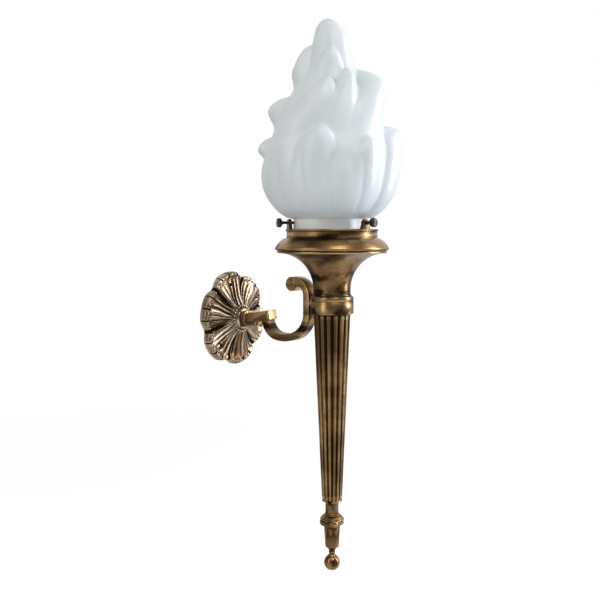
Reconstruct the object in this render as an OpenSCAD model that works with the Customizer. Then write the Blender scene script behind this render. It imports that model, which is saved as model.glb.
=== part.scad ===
// Torch wall light. Millimetres, +Z up. The wall is the plane y = 0 and the light stands out towards -Y.
// The origin is the centre of the rosette's rear face.

/* [Layout] */
// Distance from the wall to the torch axis
projection = 150; // [140:1:190]
// Height of the ferrule's underside above the rosette centre
ferrule_base = 12; // [8:0.5:16]

/* [Rosette] */
// Radius over the petal tips
rosette_r = 57.5; // [54:0.5:66]
// How far the notches between petals cut in
petal_notch = 5.5; // [3:0.5:8]
// Number of petals
petal_count = 6; // [6:3:6]
// Turn of the first petal from the +X axis, in degrees
petal_turn = 45; // [30:1:60]
// Height of the rim above the wall
rim_h = 9; // [7:0.5:11]
// Thickness of the casting
rosette_wall = 3.5; // [3:0.5:5]
// Height of the centre boss above the wall
boss_h = 23; // [21:0.5:26]
// Radius of the centre boss
boss_r = 13; // [12:0.5:15]
// Radius of the circle of wall screw holes
wall_hole_circle = 43; // [40:0.5:46]
// Radius of a wall screw hole
wall_hole_r = 2.2; // [1.8:0.1:2.8]

/* [Arm] */
// Width of the flat arm
arm_w = 16; // [15:0.5:20]
// Height of the straight bar
bar_h = 11.6; // [11:0.2:14]
// Rise of the straight bar, in degrees
bar_rise = 10; // [4:1:12]
// How far the bar's end runs past the back of the scroll
bar_lap = 6.7; // [4:0.1:12]
// Thickness of the scroll strip
strip_t = 8.8; // [8.4:0.1:10]
// Radius of the scroll's first turn
turn_1 = 22.3; // [20:0.1:25]
// Radius of the scroll's bottom
turn_2 = 45; // [42:1:48]
// Radius of the scroll's rise
turn_3 = 29; // [27:0.5:31]
// Radius of the scroll's top turn
turn_4 = 18; // [16:0.5:19]
// Radius of the curl that ends the scroll
curl_r = 8.6; // [7:0.1:9.5]
// Side of the square hub collar
collar_side = 19; // [18:0.5:22]
// Depth of the square hub collar
collar_d = 7.5; // [6:0.5:10]
// Radius of the arm's threaded tails
tail_r = 5; // [4.5:0.1:5.2]
// Bore radius of the arm's threaded tails
tail_bore_r = 3.2; // [3:0.1:3.5]
// Height of the wire way in the arm
way_t = 5; // [4:0.1:5.6]
// Width of the wire way in the arm
way_w = 6.4; // [6:0.1:8]

/* [Ferrule and bell] */
// Radius of the ferrule
ferrule_r = 24.8; // [24:0.2:28]
// Height of the ferrule
ferrule_h = 21; // [20:0.5:25]
// Wall of the ferrule
ferrule_wall = 4.8; // [4:0.1:5.5]
// Radius of the bell's foot
bell_foot_r = 21.4; // [20.8:0.1:23]
// Height of the bell's straight foot
bell_foot_h = 7; // [5:0.5:10]
// Radius of the bell's rim
bell_rim_r = 62; // [58:0.5:63]
// Height of the bell
bell_h = 52; // [46:0.5:60]
// Wall of the bell
bell_wall = 2.4; // [2:0.1:3]
// Floor and end plate thickness
floor_t = 4; // [3:0.5:5]

/* [Gallery] */
// Radius of the gallery's flange
flange_r = 65.4; // [63.5:0.2:70]
// Inner radius of the gallery ring
gallery_in_r = 49; // [47.5:0.5:50]
// Wall of the gallery ring
gallery_wall = 2.6; // [2:0.1:3]
// Height of the gallery
gallery_h = 24.5; // [22:0.5:28]
// Turn of the first lug from the +X axis, in degrees
lug_turn = 20; // [0:1:40]
// Height of the screws above the gallery's rim
lug_screw_h = 7; // [6.5:0.5:9]
// Width of a lug at its foot
lug_w = 13.8; // [10:0.2:15]
// Thickness of a lug
lug_t = 4; // [3:0.2:5]
// Radius of a thumb screw's shank
thumb_r = 1.7; // [1.5:0.1:2]
// Radius of a thumb screw's head
thumb_head_r = 5.2; // [4:0.1:5.4]
// Thickness of a thumb screw's head
thumb_head_t = 4.8; // [3.5:0.1:6]

/* [Shade] */
// Outer radius of the glass neck
neck_r = 40; // [38:0.5:42]
// Length of the glass neck
neck_h = 31.5; // [30:0.5:36]
// Height of the whole glass
glass_h = 260.5; // [250:0.5:300]
// Thickness of the glass
glass_t = 3.2; // [2.5:0.1:4]
// How far the loose glass leans off the gallery's centre
glass_shift = 4.4; // [0:0.1:4.6]
// Direction of that lean from the +X axis, in degrees
glass_shift_turn = 125; // [115:1:145]

/* [Column and foot] */
// Radius at the top of the column
column_top_r = 21.2; // [20:0.1:23]
// Radius at the bottom of the column
column_low_r = 11.6; // [11:0.1:14]
// Length of the column
column_h = 212; // [180:1:260]
// Number of flutes
flute_count = 16; // [12:2:20]
// Depth of the flutes at the top
flute_d = 1.6; // [1:0.1:2]
// Wall between the column's bore and its surface
column_wall = 4.6; // [4:0.1:5]
// Radius of the foot's slim neck
foot_neck_r = 7.5; // [7:0.1:9]
// Height of the foot collar
foot_collar_h = 17; // [14:0.5:22]
// Radius of the foot block's cap
foot_cap_r = 12.4; // [11.8:0.1:12.8]
// Height of the foot block's cap
foot_cap_h = 12; // [11:0.5:13]
// Radius over the ears of the foot block
ear_reach = 14.4; // [13.6:0.1:16]
// Radius of the rounded ears
ear_r = 4.6; // [4:0.1:5]
// Half width of the foot block's stem at its top
stem_r = 9.4; // [8.6:0.1:10.5]
// Height of the foot block
foot_block_h = 44.5; // [42:0.5:50]
// Radius of the ball finial
ball_r = 9.2; // [8:0.1:11]

/* [Rod and nuts] */
// Radius of the tie rod
rod_r = 5; // [4.5:0.1:5]
// Length of rod inside the foot block
rod_grip = 13; // [10:0.5:15]
// Thickness of the hexagon nuts
nut_t = 5; // [4:0.5:5]
// Radius over the corners of the hexagon nuts
nut_r = 9.8; // [9:0.1:10]
// Thickness of the washers
washer_t = 1.5; // [1:0.1:2]
// Radius of the washers
washer_r = 10; // [9.8:0.1:11]

/* [Lampholder and bulb] */
// Radius of the lampholder
holder_r = 20.5; // [19.5:0.5:23]
// Height of the lampholder's cap
holder_cap_h = 18; // [16:0.5:22]
// Height of the lampholder's skirt
holder_skirt_h = 28; // [27.5:0.5:34]
// Radius of the bulb's screw cap
bulb_cap_r = 13.1; // [12.8:0.1:13.4]
// Height of the bulb's screw cap
bulb_cap_h = 21; // [18:0.5:23]
// Radius of the bulb's glass
bulb_r = 30; // [22:0.5:31]
// Length of the bulb from its contact to its crown
bulb_l = 105; // [95:1:110]

/* [Wiring] */
// Radius of one lead
lead_r = 0.8; // [0.6:0.1:0.9]
// Distance between the middles of neighbouring leads
lead_pitch = 1.9; // [1.8:0.1:2.1]

/* [Hidden] */
// Radial clearance of a rod, tail or screw in its hole
fit = 0.05;
// Gap between pieces that move past one another
run = 0.3;
// Facets of round parts
smooth = 96;
// Facets of small round parts
small = 40;
// A little more than nothing, for cuts that pass through a face
cut = 0.5;

// Heights of the stack on the torch axis
ferrule_top = ferrule_base + ferrule_h;
bell_top = ferrule_top + bell_h;
gallery_top = bell_top + gallery_h;
gallery_recess = 3;
seat_z = bell_top + gallery_recess + 3;
screw_z = gallery_top + lug_screw_h;
washer_z = seat_z;
tag_t = 0.8;
tag_z = washer_z + washer_t;
gallery_nut_z = tag_z + tag_t;
holder_z = gallery_nut_z + nut_t + 1.2;
holder_floor = 2.2;
rod_top = holder_z + holder_floor + 1.3;
column_low = ferrule_base - column_h;
collar_low = column_low - foot_collar_h;
block_low = collar_low - foot_block_h;
rod_low = collar_low - rod_grip;
ball_z = block_low - ball_r - 1.6;

// Places along the arm, measured out from the wall
collar_out = boss_h + collar_d;
ferrule_back = projection - ferrule_r;
pad_t = 1.8;
strip_face = ferrule_back - pad_t;
strip_mid = strip_face - strip_t / 2;
saddle_r = 7.5;
tail_z = ferrule_base + floor_t + saddle_r + 0.5;
ferrule_in_r = ferrule_r - ferrule_wall;
saddle_t = 2.5;
tail_nut_t = 4;
tail_nut_r = 8;
tail_end = projection - ferrule_in_r + saddle_t + tail_nut_t + 0.5;
wall_nut_out = boss_h - 8 - washer_t;
wall_tail_end = wall_nut_out - nut_t - 1.5;
cavity_out = boss_h - 8;
screw_boss_wall = 2.35;

// The gallery ring and its screws
ring_r = gallery_in_r + gallery_wall;
band_r = ring_r + 1.6;
cushion_foot = 2.4;
lug_proud = 0.7;
lug_head_r = 4.2;
thumb_tip_r = neck_r + glass_shift + run + 0.2;
thumb_reach = 8.5;
thumb_head_in = ring_r + thumb_reach;
wire_hole_r = 3.6;
wire_floor_r = 11.5;
wire_gallery_r = 16;

// ---- helpers ----

// Places a child on the torch axis, with heights from the rosette centre
module on_axis() translate([0, -projection, 0]) children();

// Extrudes a flat outline drawn in (distance from wall, height) to a width centred on x = 0
module side_plate(width) rotate([90, 0, -90]) translate([0, 0, -width / 2]) linear_extrude(width) children();

// A cylinder that runs out from the wall, from one distance to another
module out_rod(r, from, to, z = 0, facets = small)
    translate([0, -from, z]) rotate([90, 0, 0]) cylinder(r = r, h = to - from, $fn = facets);

// A tube or ring that runs out from the wall
module out_ring(r, bore, from, to, z = 0)
    difference() {
        out_rod(r, from, to, z);
        out_rod(bore, from - cut, to + cut, z);
    }

// A hexagon nut that runs out from the wall
module out_nut(r, bore, from, to, z = 0)
    difference() {
        out_rod(r, from, to, z, 6);
        out_rod(bore, from - cut, to + cut, z);
    }

// Points on an arc, angles in degrees
function arc(centre, r, a0, a1, steps) =
    [for (i = [0:steps]) let (a = a0 + (a1 - a0) * i / steps) centre + r * [cos(a), sin(a)]];

// Drops the first point of a list
function rest(list) = [for (i = [1:len(list) - 1]) list[i]];

// Reverses a list
function backwards(list) = [for (i = [len(list) - 1:-1:0]) list[i]];

// Left-hand unit normal of an open path at point i
function normal_at(path, i) =
    let (a = path[max(i - 1, 0)], b = path[min(i + 1, len(path) - 1)], d = (b - a) / norm(b - a))
    [-d[1], d[0]];

// Band of a given thickness along an open path
function band(path, t) = concat(
    [for (i = [0:len(path) - 1]) path[i] + normal_at(path, i) * t / 2],
    backwards([for (i = [0:len(path) - 1]) path[i] - normal_at(path, i) * t / 2]));

// Smooth curve through hand-set [position, value] points
function tangent(p, i) =
    i == 0 ? (p[1][1] - p[0][1]) / (p[1][0] - p[0][0])
    : i == len(p) - 1 ? (p[i][1] - p[i - 1][1]) / (p[i][0] - p[i - 1][0])
    : (p[i + 1][1] - p[i - 1][1]) / (p[i + 1][0] - p[i - 1][0]);
function segment(p, x, i = 0) = i >= len(p) - 2 || x < p[i + 1][0] ? i : segment(p, x, i + 1);
function curve(p, x) =
    let (i = segment(p, x), w = p[i + 1][0] - p[i][0], t = (x - p[i][0]) / w)
    (2 * pow(t, 3) - 3 * pow(t, 2) + 1) * p[i][1] + (pow(t, 3) - 2 * pow(t, 2) + t) * w * tangent(p, i)
    + (3 * pow(t, 2) - 2 * pow(t, 3)) * p[i + 1][1] + (pow(t, 3) - pow(t, 2)) * w * tangent(p, i + 1);

// ---- rosette ----

// Petal outline as a radius for each direction
function petal_r(a, r, notch) = r - notch * pow(abs(sin(petal_count / 2 * (a - petal_turn))), 3);

module petal_outline(r, notch)
    polygon([for (i = [0:143]) let (a = 2.5 * i) petal_r(a, r, notch) * [cos(a), sin(a)]]);

// Cross-section of the cast dish, [radius, distance from the wall]
module dish_section()
    polygon(concat(
        [[0, cavity_out], [boss_r + 4, cavity_out], [30, rim_h + 2.5 - rosette_wall],
         [rosette_r - 12, rim_h - rosette_wall], [rosette_r - 7, 0], [rosette_r, 0]],
        arc([rosette_r - 3, rim_h - 3], 3, 0, 90, 6),
        [[rosette_r - 14, rim_h + 0.8], [30, rim_h + 3], [22, rim_h + 7.5], [boss_r + 3, boss_h - 4.5],
         [boss_r, boss_h - 2], [boss_r - 1, boss_h], [0, boss_h]]));

// Points away from the wall at each wall screw, one in every second petal
module at_wall_screws()
    for (i = [0:petal_count / 2 - 1]) rotate([0, -petal_turn - (2 * i + 1) * 360 / petal_count, 0])
        translate([wall_hole_circle, 0, 0]) rotate([90, 0, 0]) children();

module rosette() color("#8a6a3c") {
    difference() {
        union() {
            intersection() {
                rotate([90, 0, 0]) rotate_extrude($fn = smooth) dish_section();
                translate([0, cut, 0]) rotate([90, 0, 0]) linear_extrude(boss_h + 2 * cut)
                    petal_outline(rosette_r, petal_notch);
            }
            // Bosses behind the screw holes rest on the wall, so the screws don't bend the casting
            at_wall_screws()
                cylinder(r = wall_hole_r + screw_boss_wall, h = rim_h - rosette_wall + 2, $fn = small);
        }
        out_rod(tail_r + fit, -cut, boss_h + cut);
        at_wall_screws() translate([0, 0, -cut]) cylinder(r = wall_hole_r, h = boss_h, $fn = small);
        out_rod(earth_shank_r + fit, 0, earth_screw_out + earth_shank_l + 0.4, earth_screw_up);
    }
    // Pad that carries the terminal block
    translate([-6, -block_out - 4, -block_down - 3]) cube([12, 4, 6]);
    // Boss that takes the earth screw
    out_ring(earth_shank_r + 3, earth_shank_r + fit, earth_screw_out, earth_screw_out + 3, earth_screw_up);
}

// ---- arm ----

bar_mid = [26, 0];
bar_dir = [cos(bar_rise), sin(bar_rise)];
// Distance along the bar's middle line for a distance from the wall
function bar_at(out) = bar_mid + bar_dir * (out - bar_mid[0]) / cos(bar_rise);

// Middle line of the scroll: four arcs and one straight, each tangent to the next
c3 = [strip_mid - turn_3, ferrule_base - 1];
c2 = c3 + (turn_3 - turn_2) * [cos(-70), sin(-70)];
c1 = c2 + (turn_2 - turn_1) * [cos(-100), sin(-100)];
c4 = [strip_mid - turn_4, ferrule_base + 19.3];
scroll_low = concat(arc(c1, turn_1, -186, -100, 16), rest(arc(c2, turn_2, -100, -70, 6)),
    rest(arc(c3, turn_3, -70, 0, 14)));
scroll_top = arc(c4, turn_4, 0, 92, 14);
scroll = concat(scroll_low, scroll_top);
curl_mid = [c4[0] - 2.4, c4[1] + turn_4 + strip_t / 2 - curl_r];

module bar_outline() {
    bar_reach = c1[0] - turn_1 + bar_lap;
    root = bar_at(collar_out);
    tip = bar_at(bar_reach);
    half = [-bar_dir[1], bar_dir[0]] * bar_h / 2;
    upright = [0, bar_h / 2 / cos(bar_rise)];
    polygon([root - upright, tip - half, tip + half, root + upright]);
}

module arm_outline() {
    bar_outline();
    polygon(band(scroll, strip_t));
    translate(curl_mid) circle(r = curl_r, $fn = 48);
}

// Middle line of the wire way: along the bar, then down and round the scroll to the torch tail
way_corner = bar_at(c1[0] - turn_1);
way_round = concat([way_corner], [for (p = scroll_low) if (p[1] < way_corner[1] - 3 || p[0] > c1[0]) p],
    [[strip_mid, tail_z]]);
way_line = concat([bar_at(collar_out - 1)], way_round);

module way_outline() {
    polygon(band([bar_at(collar_out - 1), way_corner], way_t));
    polygon(band(way_round, way_t));
    translate(way_corner) circle(r = way_t / 2, $fn = 24);
    translate([strip_mid, tail_z]) circle(r = way_t / 2, $fn = 24);
}

module arm() color("#7d5b33") {
    difference() {
        union() {
            side_plate(arm_w) arm_outline();
            out_rod(tail_r, wall_tail_end, collar_out + 1);
            out_rod(tail_r, strip_mid, tail_end, tail_z);
            difference() {
                out_rod(saddle_r, strip_mid, ferrule_back + 2, tail_z);
                on_axis() cylinder(r = ferrule_r + fit, h = 2 * ferrule_top, $fn = smooth);
            }
        }
        out_rod(tail_bore_r, wall_tail_end - cut, collar_out + 2);
        out_rod(tail_bore_r, strip_mid, tail_end + cut, tail_z);
        side_plate(way_w) way_outline();
        for (side = [-1, 1]) translate([side * arm_w / 2, -curl_mid[0], curl_mid[1]]) rotate([0, 90, 0])
            cylinder(r = 1.6, h = 2, center = true, $fn = small);
    }
}

module hub_collar() color("#5a4124")
    difference() {
        translate([-collar_side / 2, -collar_out, -collar_side / 2])
            cube([collar_side, collar_d, collar_side]);
        out_rod(tail_r + fit, boss_h - cut, collar_out + cut);
    }

module wall_washer() color("#b9b2a0") out_ring(washer_r, tail_r + fit, cavity_out - washer_t, cavity_out);

module wall_nut() color("#b9b2a0") out_nut(nut_r, tail_r + fit, wall_nut_out - nut_t, wall_nut_out);

module saddle_washer() color("#b9b2a0")
    difference() {
        intersection() {
            out_rod(saddle_r, projection - ferrule_in_r - 1, projection - ferrule_in_r + saddle_t, tail_z);
            on_axis() cylinder(r = ferrule_in_r - fit, h = ferrule_top, $fn = smooth);
        }
        out_rod(tail_r + fit, projection - ferrule_r, projection, tail_z);
    }

module tail_nut() color("#b9b2a0")
    out_nut(tail_nut_r, tail_r + fit, tail_end - tail_nut_t - 0.5, tail_end - 0.5, tail_z);

// ---- ferrule, column and bell ----

// Wire hole in a floor on the torch axis
module wire_hole(r, from, to)
    translate([0, r, from - cut]) cylinder(r = wire_hole_r, h = to - from + 2 * cut, $fn = small);

module ferrule() color("#80602f")
    on_axis() difference() {
        translate([0, 0, ferrule_base]) rotate_extrude($fn = smooth) polygon(concat(
            [[rod_r + fit, 0], [ferrule_r - 2.4, 0]],
            arc([ferrule_r - 2.4, 2.4], 2.4, -90, 0, 6),
            [[ferrule_r, ferrule_h - 1], [ferrule_r - 1, ferrule_h], [ferrule_in_r, ferrule_h],
             [ferrule_in_r, floor_t], [rod_r + fit, floor_t]]));
        translate([0, 0, tail_z]) rotate([-90, 0, 0])
            cylinder(r = tail_r + fit, h = 2 * ferrule_r, $fn = small);
    }

// One flute: a tapering round channel sunk in the column's slope, with an arched end
flute_top = column_h - 5;
flute_low = 5;
function column_r(h) = column_low_r + (column_top_r - column_low_r) * h / column_h;
function flute_w(h) = 0.6 * 360 / flute_count * PI / 180 * column_r(h);
function flute_depth(h) = flute_d * column_r(h) / column_top_r;
function flute_r(h) = (pow(flute_w(h) / 2, 2) + pow(flute_depth(h), 2)) / (2 * flute_depth(h));

module flute() {
    r0 = flute_r(flute_low);
    r1 = flute_r(flute_top);
    foot_mid = column_r(flute_low) + r0 - flute_depth(flute_low);
    translate([foot_mid, 0, flute_low]) rotate([0, flute_lean(), 0]) {
        cylinder(r1 = r0, r2 = r1, h = flute_top - flute_low, $fn = 32);
        translate([0, 0, flute_top - flute_low]) sphere(r = r1, $fn = 32);
        sphere(r = r0, $fn = 32);
    }
}

function flute_lean() = atan((column_r(flute_top) + flute_r(flute_top) - flute_depth(flute_top)
    - column_r(flute_low) - flute_r(flute_low) + flute_depth(flute_low)) / (flute_top - flute_low));

module column() color("#7a5a30")
    on_axis() translate([0, 0, column_low]) difference() {
        rotate_extrude($fn = smooth) polygon([
            [rod_r + fit, 0], [column_low_r - 1.2, 0], [column_low_r - 0.4, 0.8], [column_low_r - 0.4, 1.8],
            [column_low_r, 2.6], [column_top_r, column_h],
            [column_top_r - column_wall, column_h], [column_low_r - column_wall + 0.4, 10],
            [rod_r + fit, 8]]);
        for (i = [0:flute_count - 1]) rotate([0, 0, (i + 0.5) * 360 / flute_count]) flute();
    }

// Outline of the bell's outer face from foot to rim: a quarter of an ellipse
bell_steps = 24;
bell_rise = bell_h - bell_foot_h - 3;
bell_outer = [for (i = [0:bell_steps]) let (a = 90 * i / bell_steps)
    [bell_rim_r - (bell_rim_r - bell_foot_r) * cos(a), bell_foot_h + bell_rise * sin(a)]];

module bell_cup() color("#8a6838")
    on_axis() translate([0, 0, ferrule_top]) difference() {
        rotate_extrude($fn = smooth) polygon(concat(
            [[rod_r + fit, 0], [bell_foot_r, 0], [bell_foot_r + 0.8, 0.8], [bell_foot_r, 1.6]],
            bell_outer,
            [[bell_rim_r + 0.8, bell_h - 2.2], [bell_rim_r + 0.8, bell_h - 0.8], [bell_rim_r, bell_h],
             [bell_rim_r - 4, bell_h]],
            backwards(bell_inner),
            [[bell_foot_r - bell_wall, floor_t], [rod_r + fit, floor_t]]));
        wire_hole(wire_floor_r, 0, floor_t);
    }

// Inner face of the bell, one wall inside the outer face
bell_inner = [for (i = [0:bell_steps - 1]) let (
    a = 90 * i / bell_steps,
    p = [bell_rim_r - (bell_rim_r - bell_foot_r) * cos(a), bell_foot_h + bell_rise * sin(a)],
    d = [(bell_rim_r - bell_foot_r) * sin(a), bell_rise * cos(a)],
    n = [-d[1], d[0]] / norm(d)) if (p[0] + n[0] * bell_wall < bell_rim_r - 5) p + n * bell_wall];

// ---- gallery and thumb screws ----

// Profile of the gallery from its flange to its rolled rim, heights from the flange's underside
module gallery_section() {
    h = gallery_h;
    polygon(concat(
        [[rod_r + fit, gallery_recess], [bell_rim_r - 6, gallery_recess], [bell_rim_r - 5, 0],
         [flange_r - cushion_foot, 0]],
        arc([flange_r - cushion_foot, cushion_foot + 0.2], cushion_foot, -80, -10, 5),
        [for (i = [0:8]) let (a = 90 * i / 8)
            [band_r + (flange_r - band_r) * (cos(a) + 1 - sin(a)) / 2,
             cushion_foot + 0.2 + (h - 10.8 - cushion_foot) * sin(a)]],
        [[ring_r + 0.5, h - 10.1], [ring_r + 0.3, h - 9.4], [ring_r + 0.6, h - 7], [ring_r + 0.5, h - 4],
         [ring_r + 0.2, h - 2.8]],
        arc([ring_r + 0.4, h - 1.3], 1.1, -70, 110, 7),
        [[gallery_in_r + 0.6, h], [gallery_in_r, h - 0.6], [gallery_in_r, gallery_recess + 3],
         [rod_r + fit, gallery_recess + 3]]));
}

// One upright tab with a round head, drawn across the ring at angle 0
module lug() {
    foot = gallery_h - 4;
    translate([ring_r - lug_t + lug_proud, 0, 0]) rotate([90, 0, 90]) linear_extrude(lug_t) union() {
        polygon([[-lug_w / 2, foot], [lug_w / 2, foot], [lug_w / 2, gallery_h + 0.3],
            [lug_head_r - 0.3, gallery_h + lug_screw_h + 0.6],
            [0.3 - lug_head_r, gallery_h + lug_screw_h + 0.6],
            [-lug_w / 2, gallery_h + 0.3]]);
        translate([0, gallery_h + lug_screw_h]) rotate(10) circle(r = lug_head_r, $fn = small);
    }
}

module gallery() color("#86683a")
    on_axis() translate([0, 0, bell_top]) difference() {
        union() {
            rotate_extrude($fn = smooth) gallery_section();
            for (i = [0:2]) rotate([0, 0, lug_turn + 120 * i]) lug();
        }
        for (i = [0:2]) rotate([0, 0, lug_turn + 120 * i])
            translate([gallery_in_r - 4, 0, gallery_h + lug_screw_h]) rotate([0, 90, 0])
                cylinder(r = thumb_r + fit, h = 14, $fn = small);
        wire_hole(wire_gallery_r, gallery_recess, seat_z - bell_top);
    }

// A thumb screw: shank, stepped neck and a domed head
module thumb_screw(index) color("#1f1c19")
    on_axis() rotate([0, 0, lug_turn + 120 * (index - 1)]) translate([0, 0, screw_z]) rotate([0, 90, 0])
        rotate_extrude($fn = small) polygon(concat(
            [[0, thumb_tip_r], [thumb_r - 0.6, thumb_tip_r], [thumb_r, thumb_tip_r + 0.8],
             [thumb_r, thumb_head_in - 2], [2.8, thumb_head_in - 1], [2.8, thumb_head_in],
             [thumb_head_r - 1, thumb_head_in], [thumb_head_r, thumb_head_in + 1],
             [thumb_head_r, thumb_head_in + thumb_head_t - 2]],
            arc([thumb_head_r - 1.6, thumb_head_in + thumb_head_t - 1.6], 1.6, 0, 90, 5),
            [[0, thumb_head_in + thumb_head_t + 0.3]]));

// ---- glass flame ----

// Plain body under the flames: [share of the bowl's height, radius]
bowl_h = glass_h - neck_h;
body_line = [[0, neck_r + 6], [0.025, 54], [0.063, 62], [0.1, 67.5], [0.14, 71], [0.2, 72.5], [0.27, 71],
    [0.33, 69], [0.4, 64.5], [0.47, 59.5], [0.55, 52], [0.64, 41], [0.74, 29.5], [0.82, 24.5], [0.88, 21.5],
    [0.93, 17.5], [0.965, 12.5], [0.987, 7], [1, 0]];

// Each flame: [direction of its tip in degrees, share of the bowl's height at its tip,
// how far it stands proud, half its width in degrees, lean in degrees, length of its rounded tip,
// length over which it sinks back, share of it that stays proud below that]
flames = [
    [-230, 0.862, 15, 42, 14, 0.12, 0.12, 0],
    [-243, 0.609, 18, 34, 14, 0.06, 0.12, 0],
    [-246, 0.408, 15, 28, 8, 0.06, 0.08, 0],
    [-222, 0.31, 4, 26, 6, 0.05, 0.2, 0.3],
    [-62, 0.737, 24, 34, 30, 0.075, 0.27, 0.15],
    [-56, 0.458, 20, 24, 8, 0.035, 0.3, 0.35],
    [-149, 0.685, 13, 24, 22, 0.05, 0.24, 0.2],
    [-153, 0.44, 12, 20, 12, 0.05, 0.25, 0.25],
    [-108, 0.39, 11, 17, 8, 0.045, 0.25, 0.3],
    [-114, 0.725, 11, 22, 18, 0.05, 0.3, 0.2],
    [-166, 0.53, 8, 26, 50, 0.05, 0.25, 0.3],
    [-148, 0.843, 6, 34, 10, 0.05, 0.14, 0],
    [-190, 0.4, 7, 26, 20, 0.05, 0.25, 0.3],
    [-285, 0.45, 15, 30, 12, 0.04, 0.25, 0.3],
    [-325, 0.49, 15, 28, 12, 0.04, 0.25, 0.3],
    [-295, 0.67, 16, 34, 20, 0.045, 0.2, 0.1],
    [-340, 0.61, 16, 32, 20, 0.045, 0.2, 0.1],
    [-290, 0.85, 12, 40, 20, 0.06, 0.2, 0]];

// The top of the flame sways this far, in this direction
sway = 4;
sway_turn = -55;
rib_count = 14;
rib_d = 1;

function turn_between(a, b) = let (d = (a - b + 540) % 360) (d < 0 ? d + 360 : d) - 180;
function swell(x) = x <= 0 ? 0 : x >= 1 ? 1 : x * x * (3 - 2 * x);
function flame_lift(f, a, t) =
    let (below = f[1] - t)
    below <= 0 ? 0 :
    let (rise = sqrt(1 - pow(1 - min(below / f[5], 1), 2)),
        sink = 1 - (1 - f[7]) * swell((below - f[5]) / f[6]),
        width = f[3] * max(pow(sin(90 * min(below / (2.6 * f[5]), 1)), 0.55), 0.01),
        s = abs(turn_between(a, f[0] - 4 * f[4] * below)) / width)
    s >= 1 ? 0 : f[2] * rise * sink * pow(1 - pow(s, 1.7), 0.75);
function flame_r(a, t) = curve(body_line, t)
    + rib_d * cos(rib_count * a) * swell((0.4 - t) / 0.2) * swell(t / 0.03)
    + pow([for (f = flames) pow(flame_lift(f, a, t), 4)] * [for (f = flames) 1], 0.25);
function sway_at(t) =
    sway * swell((t - 0.5) / 0.3) * swell((1 - t) / 0.12) * [cos(sway_turn), sin(sway_turn), 0];

shade_sides = 64;
shade_rings = 40;
function ring_at(i) = 1 - pow(1 - i / shade_rings, 1.3);

glass_mid = [glass_shift * cos(glass_shift_turn), glass_shift * sin(glass_shift_turn) - projection, 0];
function glass_at(p) = p + glass_mid;
function ring_point(r, a, h) = glass_at([r * cos(a), r * sin(a), h]);
function outer_point(a, t) = ring_point(flame_r(a, t), a, seat_z + neck_h + bowl_h * t) + sway_at(t);
// The inner face follows the outer face, but its flames are shallower
function inner_point(a, t) =
    ring_point(max(flame_r(a, t) - 1.25 * glass_t, 1), a,
        seat_z + neck_h + glass_t + (bowl_h - 3 * glass_t) * t) + sway_at(t);

// Two triangles of a four-sided face, seen clockwise from outside
function quad(a, b, c, d) = [[a, d, c], [a, c, b]];
// Side faces between stacked rings of n points, starting at point number first
function sleeve(first, rings, n) = [for (i = [0:rings - 2], j = [0:n - 1])
    let (k = (j + 1) % n, low = first + i * n, high = low + n)
    each quad(low + j, low + k, high + k, high + j)];

// A shell between an outer and an inner stack of rings. Its top is closed by a ring of faces, or by two tips.
module shell(outer, inner, tips = []) {
    n = shade_sides;
    rings_out = len(outer) / n;
    rings_in = len(inner) / n;
    base = len(outer);
    tip = base + len(inner);
    top_out = base - n;
    top_in = tip - n;
    foot_faces = [for (j = [0:n - 1]) each quad(base + j, base + (j + 1) % n, (j + 1) % n, j)];
    rim_faces = [for (j = [0:n - 1]) let (k = (j + 1) % n)
        each quad(top_in + j, top_out + j, top_out + k, top_in + k)];
    tip_faces = [for (j = [0:n - 1]) let (k = (j + 1) % n)
        each [[top_out + j, tip, top_out + k], [top_in + k, tip + 1, top_in + j]]];
    faces = concat(sleeve(0, rings_out, n), [for (f = sleeve(base, rings_in, n)) backwards(f)], foot_faces,
        tips == [] ? rim_faces : tip_faces);
    polyhedron(points = concat(outer, inner, tips), faces = faces);
}

// The glass is one piece. It is drawn in three lengths that meet face to face: the neck, the bowl up to ring
// crown_ring, and the crown above it.
crown_ring = 13;
last_in_ring = shade_rings - 3;
// The glass is solid over this length at its tip
tip_solid = 14;
shade_turns = [for (j = [0:shade_sides - 1]) 360 * j / shade_sides];
neck_end_z = seat_z + neck_h - 2;
function neck_ring(r) = [for (a = shade_turns) ring_point(r, a, neck_end_z)];
function outer_rings(low, high) = [for (i = [low:high], a = shade_turns) outer_point(a, ring_at(i))];
function inner_rings(low, high) = [for (i = [low:high], a = shade_turns) inner_point(a, ring_at(i))];

module glass_neck() color("#cfdde2", 0.85)
    translate(glass_at([0, 0, seat_z])) difference() {
        cylinder(r = neck_r, h = neck_h - 2, $fn = smooth);
        translate([0, 0, -cut]) cylinder(r = neck_r - glass_t, h = neck_h + 2 * cut, $fn = smooth);
    }

module glass_bowl() color("#cfdde2", 0.85)
    shell(concat(neck_ring(neck_r), outer_rings(0, crown_ring)),
        concat(neck_ring(neck_r - glass_t), inner_rings(0, crown_ring)));

module glass_crown() color("#cfdde2", 0.85)
    shell(outer_rings(crown_ring, shade_rings - 1), inner_rings(crown_ring, last_in_ring),
        [glass_at([0, 0, seat_z + glass_h]), glass_at([0, 0, seat_z + glass_h - tip_solid])]);

// ---- rod, washers and nuts on the torch axis ----

module axis_ring(r, bore, z, h, facets = small)
    on_axis() translate([0, 0, z]) difference() {
        cylinder(r = r, h = h, $fn = facets);
        translate([0, 0, -cut]) cylinder(r = bore, h = h + 2 * cut, $fn = small);
    }

module tie_rod() color("#9a9488")
    on_axis() translate([0, 0, rod_low]) cylinder(r = rod_r, h = rod_top - rod_low, $fn = small);

module gallery_washer() color("#b9b2a0") axis_ring(washer_r, rod_r + fit, washer_z, washer_t);

module gallery_nut() color("#b9b2a0") axis_ring(nut_r, rod_r + fit, gallery_nut_z, nut_t, 6);

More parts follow.
